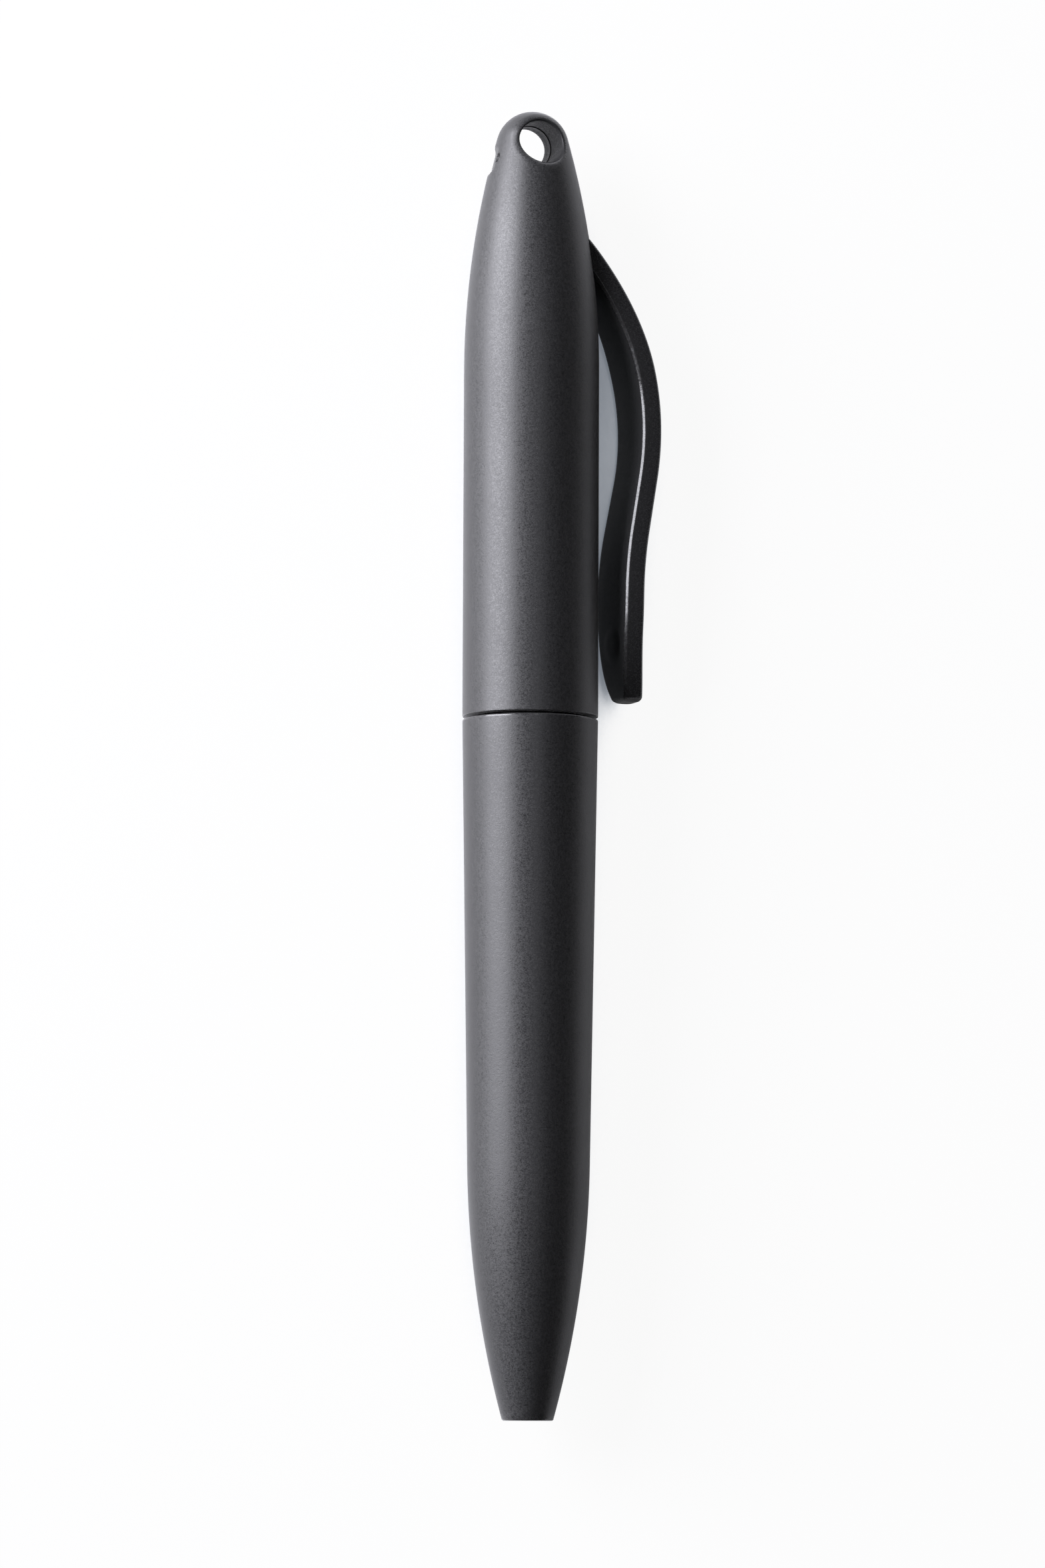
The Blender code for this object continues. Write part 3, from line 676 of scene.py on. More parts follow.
class CoilWinder(NodeRecipe):
    """Winds a round wire on a helix whose first and last turns lie closer."""

    def __init__(self) -> None:
        """Set the points of a line on the helix, and sweep the wire's section along it."""
        names = ("Radius", "Wire", "Start", "End", "Turns", "End Pitch", "Steps")
        super().__init__("wound_coil", {name: "NodeSocketFloat" for name in names})
        sheet = self.sheet
        turns = self.inlet("Turns")
        steps = self.inlet("Steps")
        close = self.inlet("End Pitch")
        span = self.inlet("End") - self.inlet("Start")
        pitch = (span - 2.0 * close) / (turns - 2.0)
        turn = sheet.node("GeometryNodeInputIndex") / steps
        tight = sheet.math("MINIMUM", turn, 1.0) + sheet.math("MAXIMUM", turn - turns + 1.0, 0.0)
        height = self.inlet("Start") + tight * close + (turn - tight) * pitch
        angle = turn * math.tau
        x = self.inlet("Radius") * sheet.math("COSINE", angle)
        y = self.inlet("Radius") * sheet.math("SINE", angle)
        spot = sheet.node("ShaderNodeCombineXYZ", None, {"X": x, "Y": y, "Z": height})
        line = sheet.node("GeometryNodeMeshLine", None, {"Count": turns * steps + 1.0})
        helix = sheet.node("GeometryNodeSetPosition", None, {"Geometry": line, "Position": spot})
        path = sheet.node("GeometryNodeMeshToCurve", None, {"Mesh": helix})
        ring = {"Resolution": WIRE_SIDES, "Radius": self.inlet("Wire")}
        section = sheet.node("GeometryNodeCurvePrimitiveCircle", None, ring)
        sweep = {"Curve": path, "Profile Curve": section, "Fill Caps": True}
        self.end_with(sheet.node("GeometryNodeCurveToMesh", None, sweep))


class Bench:
    """Where pieces are finished: it places meshes, gives them their materials and ties them to the frame."""

    def __init__(self, frame: Mapping[str, Any]) -> None:
        """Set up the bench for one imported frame."""
        self.frame = frame
        self.pen = PenFrame.from_cad(frame)
        self.lathe = Lathe()

    def object_of(self, name: str, mesh: bpy.types.Mesh) -> bpy.types.Object:
        """Link a mesh into the scene as an object at the origin."""
        made = bpy.data.objects.new(name, mesh)
        bpy.context.scene.collection.objects.link(made)
        return made

    def place(
        self,
        name: str,
        mesh: bpy.types.Mesh,
        finish: Finish,
        slot: Slot,
        node: str,
    ) -> bpy.types.Object:
        """Finish a mesh of the pen's frame as a piece that stands for a CAD node.

        Args:
            name: Name of the piece.
            mesh: Closed mesh in the pen's frame, in millimetres.
            finish: Finish of the piece.
            slot: Material slot of the record; not used.
            node: CAD node that the piece stands for.

        Returns:
            The piece, not yet tied to a body.
        """
        self.close(mesh)
        self.mark_rims(mesh)
        mesh.transform(self.pen.matrix())
        mesh.shade_smooth()
        mesh.set_sharp_from_angle(angle=SHARP_ANGLE)
        mesh.materials.clear()
        mesh.materials.append(finish.material())
        piece = self.object_of(name, mesh)
        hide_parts(node)
        LOG.info("%s: %d faces", name, len(mesh.polygons))
        return piece

    def dress_node(self, node: str, finish: Finish) -> None:
        """Give a CAD node that stays in view its finish."""
        shown = self.frame["nodes"][node]
        for place in shown.material_slots:
            place.material = finish.material()
        LOG.info("%s: %s", node, finish.name)

    @staticmethod
    def close(mesh: bpy.types.Mesh) -> None:
        """Merge doubled points and turn every face outwards."""
        bm = bmesh.new()
        bm.from_mesh(mesh)
        bmesh.ops.remove_doubles(bm, verts=bm.verts, dist=WELD_MM)
        bmesh.ops.recalc_face_normals(bm, faces=bm.faces)
        bm.to_mesh(mesh)
        bm.free()

    @staticmethod
    def mark_rims(
        mesh: bpy.types.Mesh,
        round_mm: float = 0.5,
        shortest_mm: float = 0.03,
        slack: float = 0.3,
    ) -> None:
        """Store how far each point lies on a small round edge, as the attribute "rim".

        Args:
            mesh: Mesh in millimetres.
            round_mm: Scale of the edge radius at which the mark is full.
            shortest_mm: Length below which an edge of the mesh counts for less.
            slack: What is taken off the mark, so that wide curves stay unmarked.
        """
        count = len(mesh.vertices)
        spots = np.empty(count * 3)
        mesh.vertices.foreach_get("co", spots)
        spots = spots.reshape(-1, 3)
        normals = np.empty(count * 3)
        mesh.vertices.foreach_get("normal", normals)
        normals = normals.reshape(-1, 3)
        ends = np.empty(len(mesh.edges) * 2, dtype=np.int64)
        mesh.edges.foreach_get("vertices", ends)
        first, second = ends.reshape(-1, 2).T
        step = spots[second] - spots[first]
        length = np.maximum((step * step).sum(1), shortest_mm**2)
        bend = ((normals[second] - normals[first]) * step).sum(1) / length
        sharpest = np.zeros(count)
        np.maximum.at(sharpest, first, bend)
        np.maximum.at(sharpest, second, bend)
        mark = mesh.attributes.new("rim", "FLOAT", "POINT")
        share = np.clip(sharpest * round_mm - slack, 0.0, 1.0)
        mark.data.foreach_set("value", share.astype(np.float32))


def spread(start: float, end: float, steps: int) -> list[float]:
    """Even values from start to end, both of them included."""
    return [start + (end - start) * k / steps for k in range(steps + 1)]


def arc(centre: tuple[float, float], radius: float, start: float, end: float, steps: int) -> Outline:
    """Points of an arc in the (radius, height) plane.

    Args:
        centre: Centre of the arc.
        radius: Radius of the arc.
        start: First angle, from outwards towards the rear.
        end: Last angle.
        steps: Number of straight steps.

    Returns:
        The arc's points.
    """
    angles = spread(start, end, steps)
    return [(centre[0] + radius * math.cos(a), centre[1] + radius * math.sin(a)) for a in angles]


def eased(value: float, start: float, end: float) -> float:
    """Smooth step from 0 at start to 1 at end, level beyond both."""
    share = min(1.0, max(0.0, (value - start) / (end - start)))
    return share * share * (3 - 2 * share)


def run_between(start: tuple[float, float], end: tuple[float, float], steps: int) -> Outline:
    """Points inside a straight run, its two ends left out."""
    shares = [k / steps for k in range(1, steps)]
    return [tuple(a + (b - a) * share for a, b in zip(start, end)) for share in shares]


def skin(rings: Sequence[Sequence[Point]], capped: bool) -> bmesh.types.BMesh:
    """Cover a row of closed rings, each with the same number of points.

    Args:
        rings: Rings of points in millimetres.
        capped: Whether both ends are closed with a face.

    Returns:
        The skin.
    """
    bm = bmesh.new()
    rows = [[bm.verts.new(point) for point in ring] for ring in rings]
    for low, high in zip(rows, rows[1:]):
        for k in range(len(low)):
            bm.faces.new((low[k - 1], low[k], high[k], high[k - 1]))
    if capped:
        bm.faces.new(rows[0])
        bm.faces.new(reversed(rows[-1]))
    return bm


def mesh_of(name: str, bm: bmesh.types.BMesh) -> bpy.types.Mesh:
    """Turn a bmesh into a mesh, and free it."""
    mesh = bpy.data.meshes.new(name)
    bm.to_mesh(mesh)
    bm.free()
    return mesh


@dataclass
class LowerBarrel:
    """The front shell: a long cone that rounds in to a flat-cut nose."""

    mouth_r: float = 6.45
    seam_z: float = 66.3
    seam_round: float = 0.12
    shoulder_r: float = 5.80
    shoulder_z: float = 24.0
    nose_arc_r: float = 97.0
    nose_round: float = 0.2
    bore_r: float = 1.35
    bore_round: float = 0.12
    spring_seat_z: float = 5.7
    spring_seat_r: float = 2.45
    flare_z: float = 20.0
    flare_r: float = 3.9
    bore_steps: tuple[tuple[float, float], ...] = ((4.3, 30.0), (4.5, 50.3), (5.05, 50.3))
    sides: int = 192
    cone_steps: int = 20
    nose_steps: int = 48
    lip_steps: int = 5

    def outline(self) -> Outline:
        """Outline from the mouth's rim down the outer side, then up the bore.

        Returns:
            Points of (radius, height), closed on the first one.
        """
        cone = math.atan((self.mouth_r - self.shoulder_r) / (self.seam_z - self.shoulder_z))
        centre = (
            self.shoulder_r - self.nose_arc_r * math.cos(cone),
            self.shoulder_z + self.nose_arc_r * math.sin(cone),
        )
        rim_centre = (self.mouth_r - self.seam_round, self.seam_z - self.seam_round)
        rim = arc(rim_centre, self.seam_round, math.pi / 2, 0.0, RIM_STEPS)
        end = math.asin((centre[1] - self.nose_round) / self.nose_arc_r)
        nose = arc(centre, self.nose_arc_r, -cone, -end, self.nose_steps)
        tip_r = nose[-1][0]
        edge_centre = (tip_r - self.nose_round, self.nose_round)
        edge = arc(edge_centre, self.nose_round, -end, -math.pi / 2, RIM_STEPS)
        lip_centre = (self.bore_r + self.bore_round, self.bore_round)
        lip = arc(lip_centre, self.bore_round, -math.pi / 2, -math.pi, self.lip_steps)
        bore = [
            (self.bore_r, self.spring_seat_z),
            (self.spring_seat_r, self.spring_seat_z),
            (self.flare_r, self.flare_z),
            *self.bore_steps,
            (self.bore_steps[-1][0], self.seam_z),
        ]
        beside_rim = (rim[-1][0], rim[-1][1] - self.seam_round)
        cone_run = [beside_rim, *run_between(beside_rim, nose[0], self.cone_steps)]
        return rim + cone_run + nose + edge[1:] + lip + bore + rim[:1]

    def build(self, bench: Bench) -> None:
        """Turn the shell and tie it to the lower body."""
        mesh = bench.lathe.turn("lower_shell", self.outline(), self.sides, BLACK_SATIN)
        shell = bench.place("lower_shell", mesh, BLACK_SATIN, Slot.BARREL, "lower_barrel")
        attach(shell, Body.LOWER.value)


@dataclass
class Clip:
    """The arched strip: a flared tongue, a straight run, a reverse bend, a slope, a crest and a foot."""

    width: float = 7.08
    swell: float = 0.44
    swell_start_z: float = 93.0
    swell_full_z: float = 81.0
    root_width: float = 5.6
    root_start_z: float = 100.0
    root_end_z: float = 111.0
    thickness: float = 1.98
    edge: float = 0.42
    edge_share: float = 0.45
    facet: float = 0.24
    facet_lean: float = math.radians(41)
    facet_round: float = 0.12
    tip_z: float = 68.35
    tip_x: float = 10.93
    tip_edge: float = 0.5
    tongue_length: float = 12.2
    tongue_cut: float = 0.85
    square_run: float = 3.0
    flare: float = math.radians(11.9)
    flare_r: float = 33.5
    straight: float = 3.0
    reverse_r: float = 36.2
    slope: float = math.radians(10.17)
    slope_length: float = 4.94
    crest_r: float = 27.08
    root_slope: float = math.radians(43)
    foot: float = 2.4
    bump_run: float = 5.6
    bump_length: float = 3.8
    bump_width: float = 4.4
    bump_height: float = 0.14
    bend_length: float = 9.0

    def path(self, foot: float) -> list[Station]:
        """Stations along the outer face from tip to foot.

        Args:
            foot: Length of the foot past the crest's arc.

        Returns:
            Stations of (run, x, z, heading), with heading 0 along the pen.
        """
        stations = [(0.0, self.tip_x, self.tip_z, -self.flare)]

        def follow(length: float, steps: int, curve: float = 0.0) -> None:
            """Add a run of even steps on one curvature."""
            for _ in range(steps):
                run, x, z, heading = stations[-1]
                step = length / steps
                middle = heading + step * curve / 2
                x += step * math.sin(middle)
                z += step * math.cos(middle)
                stations.append((run + step, x, z, heading + step * curve))

        follow(self.tip_edge, RIM_STEPS, 1 / self.flare_r)
        follow(self.flare_r * self.flare - self.tip_edge, FLARE_STEPS, 1 / self.flare_r)
        follow(self.straight, STRAIGHT_STEPS)
        follow(self.reverse_r * self.slope, REVERSE_STEPS, 1 / self.reverse_r)
        follow(self.slope_length, SLOPE_STEPS)
        follow(self.crest_r * (self.slope + self.root_slope), CREST_STEPS, -1 / self.crest_r)
        follow(foot, FOOT_STEPS)
        return stations

    def half_width(self, run: float, z: float) -> float:
        """Half of the width: a tongue at the end, a swell above it and a narrowing towards the root."""
        tongue = max(0.0, 1.0 - (run + self.tongue_cut) / self.tongue_length)
        swell = self.swell * eased(z, self.swell_start_z, self.swell_full_z)
        narrowing = (self.width - self.root_width) / 2 * eased(z, self.root_start_z, self.root_end_z)
        return (self.width / 2 + swell) * math.sqrt(1.0 - tongue * tongue) - narrowing

    def bump(self, across: float, run: float) -> float:
        """Height of the rounded bump on the inner face at one spot."""
        reach = (run - self.bump_run) / (self.bump_length / 2)
        side = across / (self.bump_width / 2)
        return self.bump_height * eased(1.0 - reach * reach - side * side, 0.0, 1.0)

    def bevel(self, corner: tuple[float, float], scale: float) -> Outline:
        """Points round an inner edge: a narrow facet between two small rounds.

        Args:
            corner: The sharp corner of (across, depth) that the edge stands for.
            scale: Size of the edge against its full size.

        Returns:
            Points from the side face to the inner face.
        """
        turns = [self.facet_lean * (k + 0.5) / EDGE_STEPS for k in range(EDGE_STEPS)]
        steps = [(turn, self.facet_round * self.facet_lean / EDGE_STEPS) for turn in turns]
        steps.append((self.facet_lean, self.facet))
        rest = math.pi / 2 - self.facet_lean
        turns = [self.facet_lean + rest * (k + 0.5) / EDGE_STEPS for k in range(EDGE_STEPS)]
        steps += [(turn, self.facet_round * rest / EDGE_STEPS) for turn in turns]
        points = [(0.0, 0.0)]
        for turn, step in steps:
            across, depth = points[-1]
            points.append((across - scale * step * math.sin(turn), depth + scale * step * math.cos(turn)))
        rise = points[-1][1]
        return [(corner[0] + across, corner[1] - rise + depth) for across, depth in points]

    def section(self, station: Station, grow: float) -> list[Point]:
        """One closed section of the strip.

        Args:
            station: Where the section stands: (run, x, z, heading).
            grow: How far the section is widened all round, for the barrel's slot.

        Returns:
            Points in the pen's frame.
        """
        run, x, z, heading = station
        rise = min(self.tip_edge, run)
        inset = self.tip_edge - math.sqrt(self.tip_edge**2 - (self.tip_edge - rise) ** 2)
        half_width = self.half_width(run, z) - inset + grow
        edge = min(self.edge, self.edge_share * half_width)
        top = inset - grow
        bottom = self.thickness - inset + grow
        flat = half_width - edge
        half = [(flat * k / TOP_STEPS, top) for k in range(TOP_STEPS)]
        half += arc((flat, top + edge), edge, -math.pi / 2, 0.0, RIM_STEPS)
        half += self.bevel((half_width, bottom), edge / self.edge)
        face = [half[-1][0] * (1.0 - k / FACE_STEPS) for k in range(1, FACE_STEPS + 1)]
        half += [(across, bottom + self.bump(across, run)) for across in face]
        whole = half + [(-across, depth) for across, depth in reversed(half[1:-1])]
        lean = (math.cos(heading), math.sin(heading) * min(1.0, run / self.square_run))
        return [(x - depth * lean[0], across, z + depth * lean[1]) for across, depth in whole]

    def strip(self, grow: float, extra_foot: float, only_root: bool) -> bmesh.types.BMesh:
        """Skin of the strip, or of its root alone.

        Args:
            grow: How far the strip is widened all round.
            extra_foot: Length added to the foot.
            only_root: Whether to keep just the part that dips into the barrel.

        Returns:
            The closed skin.
        """
        stations = self.path(self.foot + extra_foot)
        if only_root:
            stations = [station for station in stations if station[3] < -self.root_slope / 2]
        return skin([self.section(station, grow) for station in stations], capped=True)

    def root(self) -> tuple[Vector, Vector]:
        """Where the strip starts to bend, at the barrel, and where it follows the clip's body whole."""
        stations = self.path(self.foot)
        entry = stations[-1 - FOOT_STEPS]
        far = next(station for station in stations if station[2] > entry[2] - self.bend_length)
        return Vector((entry[1], 0.0, entry[2])), Vector((far[1], 0.0, far[2]))

    def build(self, bench: Bench) -> None:
        """Make the strip and bake it in place; the two points of its root are found but not used."""
        mesh = mesh_of("clip_strip", self.strip(0.0, 0.0, only_root=False))
        strip = bench.place("clip_strip", mesh, BLACK_SATIN, Slot.CLIP, "clip")
        start, end = (bench.pen.point(*spot) for spot in self.root())
        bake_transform(strip)


@dataclass
class UpperBarrel:
    """The rear shell: a straight side, a long ogive and a dome with the lanyard eye across it."""

    clip: Clip
    barrel_r: float = 6.46
    length_z: float = 125.0
    mouth_z: float = 66.6
    seam_round: float = 0.05
    ogive_arc_r: float = 85.0
    dome_r: float = 3.5
    eye_z: float = 121.65
    eye_r: float = 2.15
    eye_far_r: float = 2.08
    eye_step: float = 0.73
    eye_round: float = 0.7
    skin_start_z: float = 115.5
    gate_turn: float = math.radians(14)
    gate_z: float = 120.12
    gate_half: float = 1.42
    gate_depth: float = 0.35
    gate_crisp: int = 6
    slit_z: float = 120.17
    slit_half: float = 0.52
    slit_across: float = -1.6
    slit_width: float = 0.42
    slit_depth: float = 0.45
    slot_gap: float = 0.1
    bore: tuple[tuple[float, float], ...] = (
        (5.3, 66.6), (5.3, 105.9), (4.0, 108.8), (3.7, 114.0), (0.0, 115.2),
    )
    sides: int = 192
    barrel_steps: int = 16
    ogive_steps: int = 36
    flank_steps: int = 42
    dome_steps: int = 26
    face_rows: int = 16
    bend_rows: int = 8
    wall_rows: int = 4

    @property
    def dome_z(self) -> float:
        """Height of the dome's centre."""
        return self.length_z - self.dome_r

    @property
    def meet(self) -> float:
        """Angle at which the dome and the ogive meet on one tangent."""
        return math.acos((self.ogive_arc_r - self.barrel_r) / (self.ogive_arc_r - self.dome_r))

    @property
    def meet_z(self) -> float:
        """Height at which the dome and the ogive meet."""
        return self.dome_z + self.dome_r * math.sin(self.meet)

    @property
    def ogive_z(self) -> float:
        """Height where the straight side ends and the ogive starts."""
        return self.dome_z - (self.ogive_arc_r - self.dome_r) * math.sin(self.meet)

    def radius(self, z: float) -> float:
        """Outer radius at a height."""
        if z <= self.ogive_z:
            return self.barrel_r
        if z <= self.meet_z:
            reach = math.sqrt(self.ogive_arc_r**2 - (z - self.ogive_z) ** 2)
            return self.barrel_r - self.ogive_arc_r + reach
        return math.sqrt(max(0.0, self.dome_r**2 - (z - self.dome_z) ** 2))

    def outline(self) -> Outline:
        """Outline of the turned part: from under the eye down the outer side, then up the blind bore."""
        heights = spread(self.skin_start_z, self.ogive_z, self.ogive_steps)
        ogive = [(self.radius(z), z) for z in heights]
        rim_centre = (self.barrel_r - self.seam_round, self.mouth_z + self.seam_round)
        rim = arc(rim_centre, self.seam_round, 0.0, -math.pi / 2, RIM_STEPS)
        beside_rim = (rim[0][0], rim[0][1] + 2 * self.seam_round)
        straight = run_between(ogive[-1], beside_rim, self.barrel_steps)
        return [*ogive, *straight, beside_rim, *rim, *self.bore]

    def silhouette(self) -> Outline:
        """Points up the outer side from the turned part to the crown."""
        heights = spread(self.skin_start_z, self.meet_z, self.flank_steps)
        flank = [(self.radius(z), z) for z in heights[:-1]]
        dome = arc((0.0, self.dome_z), self.dome_r, self.meet, math.pi / 2, self.dome_steps)
        return [*flank, *dome[:-1], (0.0, self.length_z)]

    def loop(self) -> list[tuple[float, float, bool]]:
        """Closed loop round the eye, seen along it.

        Returns:
            Points of (x, z, whether the point lies on the silhouette).
        """
        side = self.silhouette()
        up = [(x, z, True) for x, z in side]
        down = [(-x, z, True) for x, z in reversed(side[:-1])]
        ring_r = self.radius(self.skin_start_z)
        half = self.sides // 2
        base = [(-ring_r * math.cos(math.pi * k / half), self.skin_start_z, False) for k in range(1, half)]
        return up + down + base

    def surface_y(self, x: float, z: float) -> float:
        """Distance of the outer skin from the eye's middle plane."""
        return math.sqrt(max(0.0, self.radius(z) ** 2 - x * x))

    def seen_from_gate(self, x: float, y: float) -> tuple[float, float]:
        """How far out towards the gate, and how far across it, a point lies."""
        cos, sin = math.cos(self.gate_turn), math.sin(self.gate_turn)
        return y * sin - x * cos, y * cos + x * sin

    def slit_share(self, across: float, z: float) -> float:
        """Share of the slit's depth at a spot of the gate, 0 beside the slit."""
        rise = (z - self.slit_z) / self.slit_half
        side = (across - self.slit_across) / self.slit_width
        return max(0.0, 1.0 - rise * rise - side * side)

    def trim_gate(self, x: float, y: float, z: float) -> Point:
        """Move a point of the skin onto the cut gate and its small slit, on the side away from the clip."""
        out, across = self.seen_from_gate(x, y)
        rise = (z - self.gate_z) / self.gate_half
        if out <= 0.0 or abs(rise) >= 1.0:
            return x, y, z
        out = min(out, self.radius(z) - self.gate_depth * (1.0 - rise**self.gate_crisp))
        out -= self.slit_depth * self.slit_share(across, z)
        cos, sin = math.cos(self.gate_turn), math.sin(self.gate_turn)
        return across * sin - out * cos, across * cos + out * sin, z

    def eye_column(self, spot: tuple[float, float, bool], side: int) -> list[Point]:
        """One column of the skin, from the loop over the rim and down the eye's wall.

        Args:
            spot: Point of the loop that the column starts from.
            side: -1 for the upper face as the pen lies, 1 for the lower.

        Returns:
            Points of the column.
        """
        x, z, on_edge = spot
        hole_r = self.eye_far_r if side > 0 else self.eye_r
        reach = math.hypot(x, z - self.eye_z)
        ahead = (x / reach, (z - self.eye_z) / reach)
        rim_r = hole_r + self.eye_round
        column = []
        for j in range(self.face_rows + 1):
            rho = rim_r + (reach - rim_r) * math.cos(math.pi / 2 * j / self.face_rows)
            px, pz = ahead[0] * rho, self.eye_z + ahead[1] * rho
            py = 0.0 if on_edge and j == 0 else self.surface_y(px, pz)
            column.append(self.trim_gate(px, side * py, pz))
        start_y = self.surface_y(ahead[0] * rim_r, self.eye_z + ahead[1] * rim_r)
        corner_y = self.surface_y(ahead[0] * hole_r, self.eye_z + ahead[1] * hole_r)
        wall_y = corner_y - self.eye_round
        for j in range(1, self.bend_rows + 1):
            t = j / self.bend_rows
            weights = ((1 - t) ** 2, 2 * t * (1 - t), t * t)
            rho = weights[0] * rim_r + (weights[1] + weights[2]) * hole_r
            py = weights[0] * start_y + weights[1] * corner_y + weights[2] * wall_y
            column.append((ahead[0] * rho, side * py, self.eye_z + ahead[1] * rho))
        for j in range(1, self.wall_rows + 1):
            py = side * wall_y + (self.eye_step - side * wall_y) * j / self.wall_rows
            column.append((ahead[0] * hole_r, py, self.eye_z + ahead[1] * hole_r))
        if side < 0:
            ledge_r = self.eye_far_r
            column.append((ahead[0] * ledge_r, self.eye_step, self.eye_z + ahead[1] * ledge_r))
        return column

    def eye_skin(self) -> bmesh.types.BMesh:
        """Skin of the ogive's end and the dome on both sides, with the eye through it."""
        bm = bmesh.new()
        for side in (-1, 1):
            columns = [self.eye_column(spot, side) for spot in self.loop()]
            part = skin([list(ring) for ring in zip(*columns)], capped=False)
            piece = mesh_of("eye_skin", part)
            bm.from_mesh(piece)
            bpy.data.meshes.remove(piece)
        return bm

    def build(self, bench: Bench) -> None:
        """Turn the shell, join the eye's skin to it, cut the clip's slot and tie it to the upper body."""
        turned = bench.lathe.turn("upper_turned", self.outline(), self.sides, BLACK_SATIN)
        bm = self.eye_skin()
        bm.from_mesh(turned)
        bpy.data.meshes.remove(turned)
        whole = mesh_of("upper_whole", bm)
        bench.close(whole)
        mesh = self.cut_slot(bench, whole)
        shell = bench.place("upper_shell", mesh, BLACK_SATIN, Slot.BARREL, "upper_barrel")
        self.line_eye(bench, mesh)
        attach(shell, Body.UPPER.value)

    def line_eye(self, bench: Bench, mesh: bpy.types.Mesh) -> None:
        """Give the eye's wall and the slit a duller copy of the satin as painted shade, and leave the cut
        gate unpolished.
        """
        mesh.materials.append(SHADED_BORE_SATIN.material())
        to_pen = bench.pen.matrix().inverted()
        for face in mesh.polygons:
            spot = to_pen @ face.center
            out, across = self.seen_from_gate(spot.x, spot.y)
            in_eye = math.hypot(spot.x, spot.z - self.eye_z) < self.eye_r + self.eye_round / 4
            if in_eye or out > 0.0 and self.slit_share(across, spot.z) > 0.0:
                face.material_index = 1
        rim = mesh.attributes["rim"].data
        for corner in mesh.vertices:
            spot = to_pen @ corner.co
            out = self.seen_from_gate(spot.x, spot.y)[0]
            beside = abs(spot.z - self.gate_z) < 2 * self.gate_half
            if beside and out > self.radius(spot.z) - 2 * self.gate_depth:
                rim[corner.index].value = 0.0

    def cut_slot(self, bench: Bench, whole: bpy.types.Mesh) -> bpy.types.Mesh:
        """Cut the clip's slot out of the shell.

        Args:
            bench: Bench to work on.
            whole: Closed mesh of the shell.

        Returns:
            The cut mesh.
        """
        root = mesh_of("clip_root", self.clip.strip(self.slot_gap, self.slot_gap, only_root=True))
        bench.close(root)
        cutter = bench.object_of("clip_root", root)
        shell = bench.object_of("upper_whole", whole)
        boolean = shell.modifiers.new("clip_slot", "BOOLEAN")
        boolean.operation = "DIFFERENCE"
        boolean.solver = "EXACT"
        boolean.object = cutter
        graph = bpy.context.evaluated_depsgraph_get()
        mesh = bpy.data.meshes.new_from_object(shell.evaluated_get(graph))
        mesh.name = "upper_shell"
        for used in (shell, cutter):
            bpy.data.objects.remove(used)
        bpy.data.meshes.remove(whole)
        bpy.data.meshes.remove(root)
        return mesh


@dataclass
class Refill:
    """The refill: a fine point and ball, with the CAD's tube, collar, plug, ink and plunger behind them."""

    ball_z: float = 3.05
    ball_r: float = 0.5
    lip_z: float = 2.75
    lip_r: float = 0.55
    lip_round: float = 0.06
    lip_steps: int = 4
    mouth_r: float = 0.47
    cup_r: float = 0.56
    cup_lip: float = 0.2
    cup_end_z: float = 3.65
    cone_end_z: float = 6.0
    point_r: float = 1.15
    step_z: float = 7.4
    step_r: float = 1.09
    step_taper: float = 0.06
    step_length: float = 0.5
    point_end_z: float = 12.3
    chamfer: float = 0.1
    spigot_r: float = 0.85
    spigot_end_z: float = 15.5
    channel_r: float = 0.35
    sides: int = 72
    ball_sides: int = 48

    def point_outline(self) -> Outline:
        """Outline of the point: spigot, body with a turned step, cone and crimped lip, then the cup."""
        cone = math.atan2(self.point_r - self.lip_r, self.cone_end_z - self.lip_z)
        lip_centre = (self.lip_r - self.lip_round, self.lip_z + self.lip_round)
        lip = arc(lip_centre, self.lip_round, -cone, -math.pi / 2, self.lip_steps)
        start = (self.spigot_r, self.spigot_end_z)
        return [
            start,
            (self.spigot_r, self.point_end_z),
            (self.point_r - self.chamfer, self.point_end_z),
            (self.point_r, self.point_end_z - self.chamfer),
            (self.point_r, self.step_z + self.step_taper),
            (self.step_r, self.step_z),
            (self.step_r, self.step_z - self.step_length),
            (self.point_r, self.step_z - self.step_length - self.step_taper),
            (self.point_r, self.cone_end_z),
            *lip,
            (self.mouth_r, self.lip_z),
            (self.cup_r, self.lip_z + self.cup_lip),
            (self.cup_r, self.cup_end_z),
            (self.channel_r, self.cup_end_z),
            (self.channel_r, self.spigot_end_z),
            start,
        ]

    def build(self, bench: Bench) -> None:
        """Turn the point and the ball, and dress the CAD's own pieces of the refill."""
        mesh = bench.lathe.turn("refill_point", self.point_outline(), self.sides, SATIN_STEEL)
        point = bench.place("refill_point", mesh, SATIN_STEEL, Slot.REFILL_STEEL, "tip_socket")
        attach(point, Body.REFILL.value)
        half = arc((0.0, self.ball_z), self.ball_r, -math.pi / 2, math.pi / 2, self.ball_sides // 2)
        half = [(0.0, self.ball_z - self.ball_r), *half[1:-1], (0.0, self.ball_z + self.ball_r)]
        mesh = bench.lathe.turn("point_ball", half, self.ball_sides, POLISHED_CARBIDE)
        ball = bench.place("point_ball", mesh, POLISHED_CARBIDE, Slot.CARBIDE, "writing_ball")
        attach(ball, Body.REFILL.value)
        bench.dress_node("refill_tube", SATIN_STEEL)
        bench.dress_node("ink_column", BLUE_INK)
        for node in ("tip_collar", "refill_plug", "plunger"):
            bench.dress_node(node, WHITE_NYLON)
        bench.dress_node("cam_pin", DRAWN_STEEL)


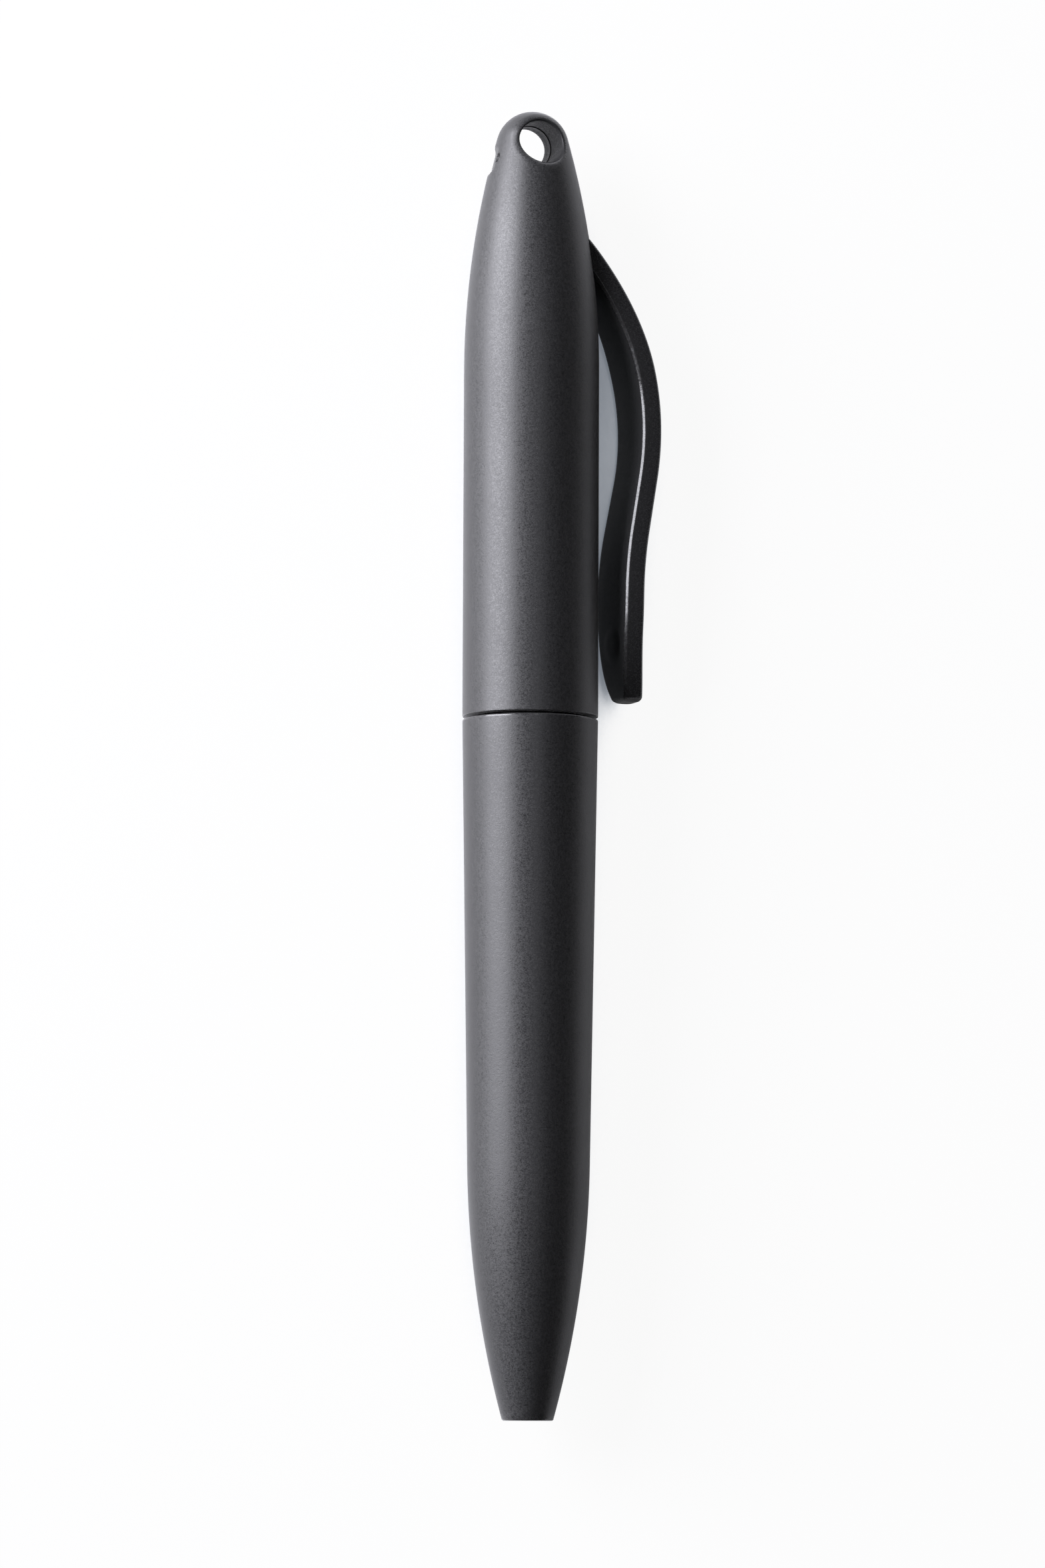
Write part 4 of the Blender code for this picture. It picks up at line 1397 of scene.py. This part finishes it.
@dataclass
class ReturnSpring:
    """The coil between the nose's inner seat and the refill's collar."""

    radius: float = 2.0
    wire_r: float = 0.22
    start_z: float = 6.1
    end_z: float = 25.55
    turns: int = 11
    end_pitch: float = 0.9
    seat_z: float = 5.9
    travel: float = 5.5
    steps: int = 24

    def build(self, bench: Bench) -> None:
        """Wind the coil and tie it to the lower body."""
        mesh = CoilWinder().run(
            "return_coil",
            bpy.data.meshes.new("coil_base"),
            DRAWN_STEEL,
            Radius=self.radius,
            Wire=self.wire_r,
            Start=self.start_z,
            End=self.end_z,
            Turns=float(self.turns),
            End_Pitch=self.end_pitch,
            Steps=float(self.steps),
        )
        coil = bench.place("return_coil", mesh, DRAWN_STEEL, Slot.SPRING_STEEL, "return_spring")
        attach(coil, Body.LOWER.value)
        anchor = bench.pen.point(0.0, 0.0, self.seat_z)
        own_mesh(coil)


@dataclass
class TwistUnit:
    """The CAD's own pieces of the twist unit, dressed in brass, steel, rubber and plastic."""

    def build(self, bench: Bench) -> None:
        """Dress the stem, its rings and the cam sleeve."""
        bench.dress_node("barrel_insert", TURNED_BRASS)
        bench.dress_node("drag_ring", BLACK_RUBBER)
        bench.dress_node("retaining_ring", DRAWN_STEEL)
        for node in ("guide_tube", "cam_sleeve"):
            bench.dress_node(node, DARK_SLEEVE)


@dataclass(frozen=True)
class SoftLamp:
    """A soft rectangular lamp that faces the pen, with one side along it."""

    name: str
    turn: float
    lead: float
    distance_m: float
    size_m: tuple[float, float]
    watts: float
    tint: Colour = (0.93, 0.93, 1.0)

    def hang(self, aim: Vector) -> None:
        """Hang the lamp, turned up from the left horizon and leading towards the pen's rear.

        Args:
            aim: Point that the lamp faces.
        """
        lamp = bpy.data.lights.new(self.name, "AREA")
        lamp.shape = "RECTANGLE"
        lamp.size, lamp.size_y = self.size_m
        lamp.energy = self.watts
        lamp.color = self.tint
        away = Vector((
            -math.cos(self.turn) * math.cos(self.lead),
            math.sin(self.lead),
            math.sin(self.turn) * math.cos(self.lead),
        ))
        across = Vector((0.0, 1.0, 0.0)).cross(away).normalized()
        axes = Matrix((across, away.cross(across), away)).transposed()
        holder = bpy.data.objects.new(self.name, lamp)
        bpy.context.scene.collection.objects.link(holder)
        holder.matrix_world = Matrix.Translation(aim + away * self.distance_m) @ axes.to_4x4()


@dataclass
class Studio:
    """A pale floor, a large soft lamp on the left, a weak one overhead and the camera above the pen."""

    picture: tuple[int, int] = (1568, 2352)
    focal_px: float = 9550.0
    sensor_mm: float = 36.0
    tilt: float = math.radians(5.70)
    swing: float = math.radians(4.9)
    roll: float = math.radians(0.23)
    aim_z: float = 60.2
    aim_side_mm: float = 0.71
    distance_mm: float = 604.9
    near_m: float = 0.01
    floor_m: float = 3.0
    floor_squares: int = 8
    key: SoftLamp = SoftLamp("key_lamp", math.radians(27), math.radians(23), 0.55, (0.46, 0.44), 7.8)
    top: SoftLamp = SoftLamp("top_lamp", math.radians(96), math.radians(9), 0.75, (0.05, 0.40), 0.25)
    world_grey: float = 0.02

    def build(self, bench: Bench) -> None:
        """Lay the floor, hang the lamps, set the world and the camera."""
        self.lay_floor(bench)
        for lamp in (self.key, self.top):
            lamp.hang(bench.pen.point(0.0, 0.0, self.aim_z))
        self.set_world()
        self.set_camera(bench)
        bpy.context.scene.view_settings.view_transform = "Standard"

    def lay_floor(self, bench: Bench) -> None:
        """Lay the floor under the pen."""
        bm = bmesh.new()
        squares = self.floor_squares
        bmesh.ops.create_grid(bm, x_segments=squares, y_segments=squares, size=self.floor_m)
        mesh = mesh_of("floor", bm)
        mesh.materials.append(STUDIO_FLOOR.material())
        bench.object_of("floor", mesh)

    def set_world(self) -> None:
        """Dim grey light from all round, and plain white where the camera sees past the floor."""
        world = bpy.data.worlds.new("studio")
        bpy.context.scene.world = world
        world.use_nodes = True
        sheet = NodeSheet(world.node_tree)
        grey = (self.world_grey, self.world_grey, self.world_grey)
        seen = sheet.node("ShaderNodeLightPath", output="Is Camera Ray")
        sky = world.node_tree.nodes["Background"]
        sheet.feed(sky.inputs["Color"], sheet.mix_colour(seen, grey, WHITE))

    def set_camera(self, bench: Bench) -> None:
        """Set the camera over the pen, a little to its left and looking a little towards its rear end."""
        lens = bpy.data.cameras.new("camera")
        lens.sensor_fit = "VERTICAL"
        lens.sensor_height = self.sensor_mm
        lens.lens = self.sensor_mm * self.focal_px / self.picture[1]
        lens.clip_start = self.near_m
        holder = bpy.data.objects.new("camera", lens)
        bpy.context.scene.collection.objects.link(holder)
        lean = Matrix.Rotation(-self.swing, 4, "Y") @ Matrix.Rotation(self.tilt, 4, "X")
        back = lean @ Vector((0.0, 0.0, self.distance_mm * MM))
        aside = lean @ Vector((self.aim_side_mm * MM, 0.0, 0.0))
        spot = bench.pen.point(0.0, 0.0, self.aim_z) + back - aside
        holder.matrix_world = Matrix.Translation(spot) @ lean @ Matrix.Rotation(self.roll, 4, "Z")
        bpy.context.scene.camera = holder


def main() -> None:
    """Build the pen's pieces in order, then the studio."""
    logging.basicConfig(level=logging.INFO, format="%(name)s: %(message)s")
    for old in list(bpy.data.objects):
        bpy.data.objects.remove(old, do_unlink=True)
    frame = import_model()
    bench = Bench(frame)
    clip = Clip()
    inside = (TwistUnit(), Refill(), ReturnSpring())
    for assembly in (LowerBarrel(), UpperBarrel(clip), clip, *inside, Studio()):
        assembly.build(bench)


if __name__ == "__main__":
    main()
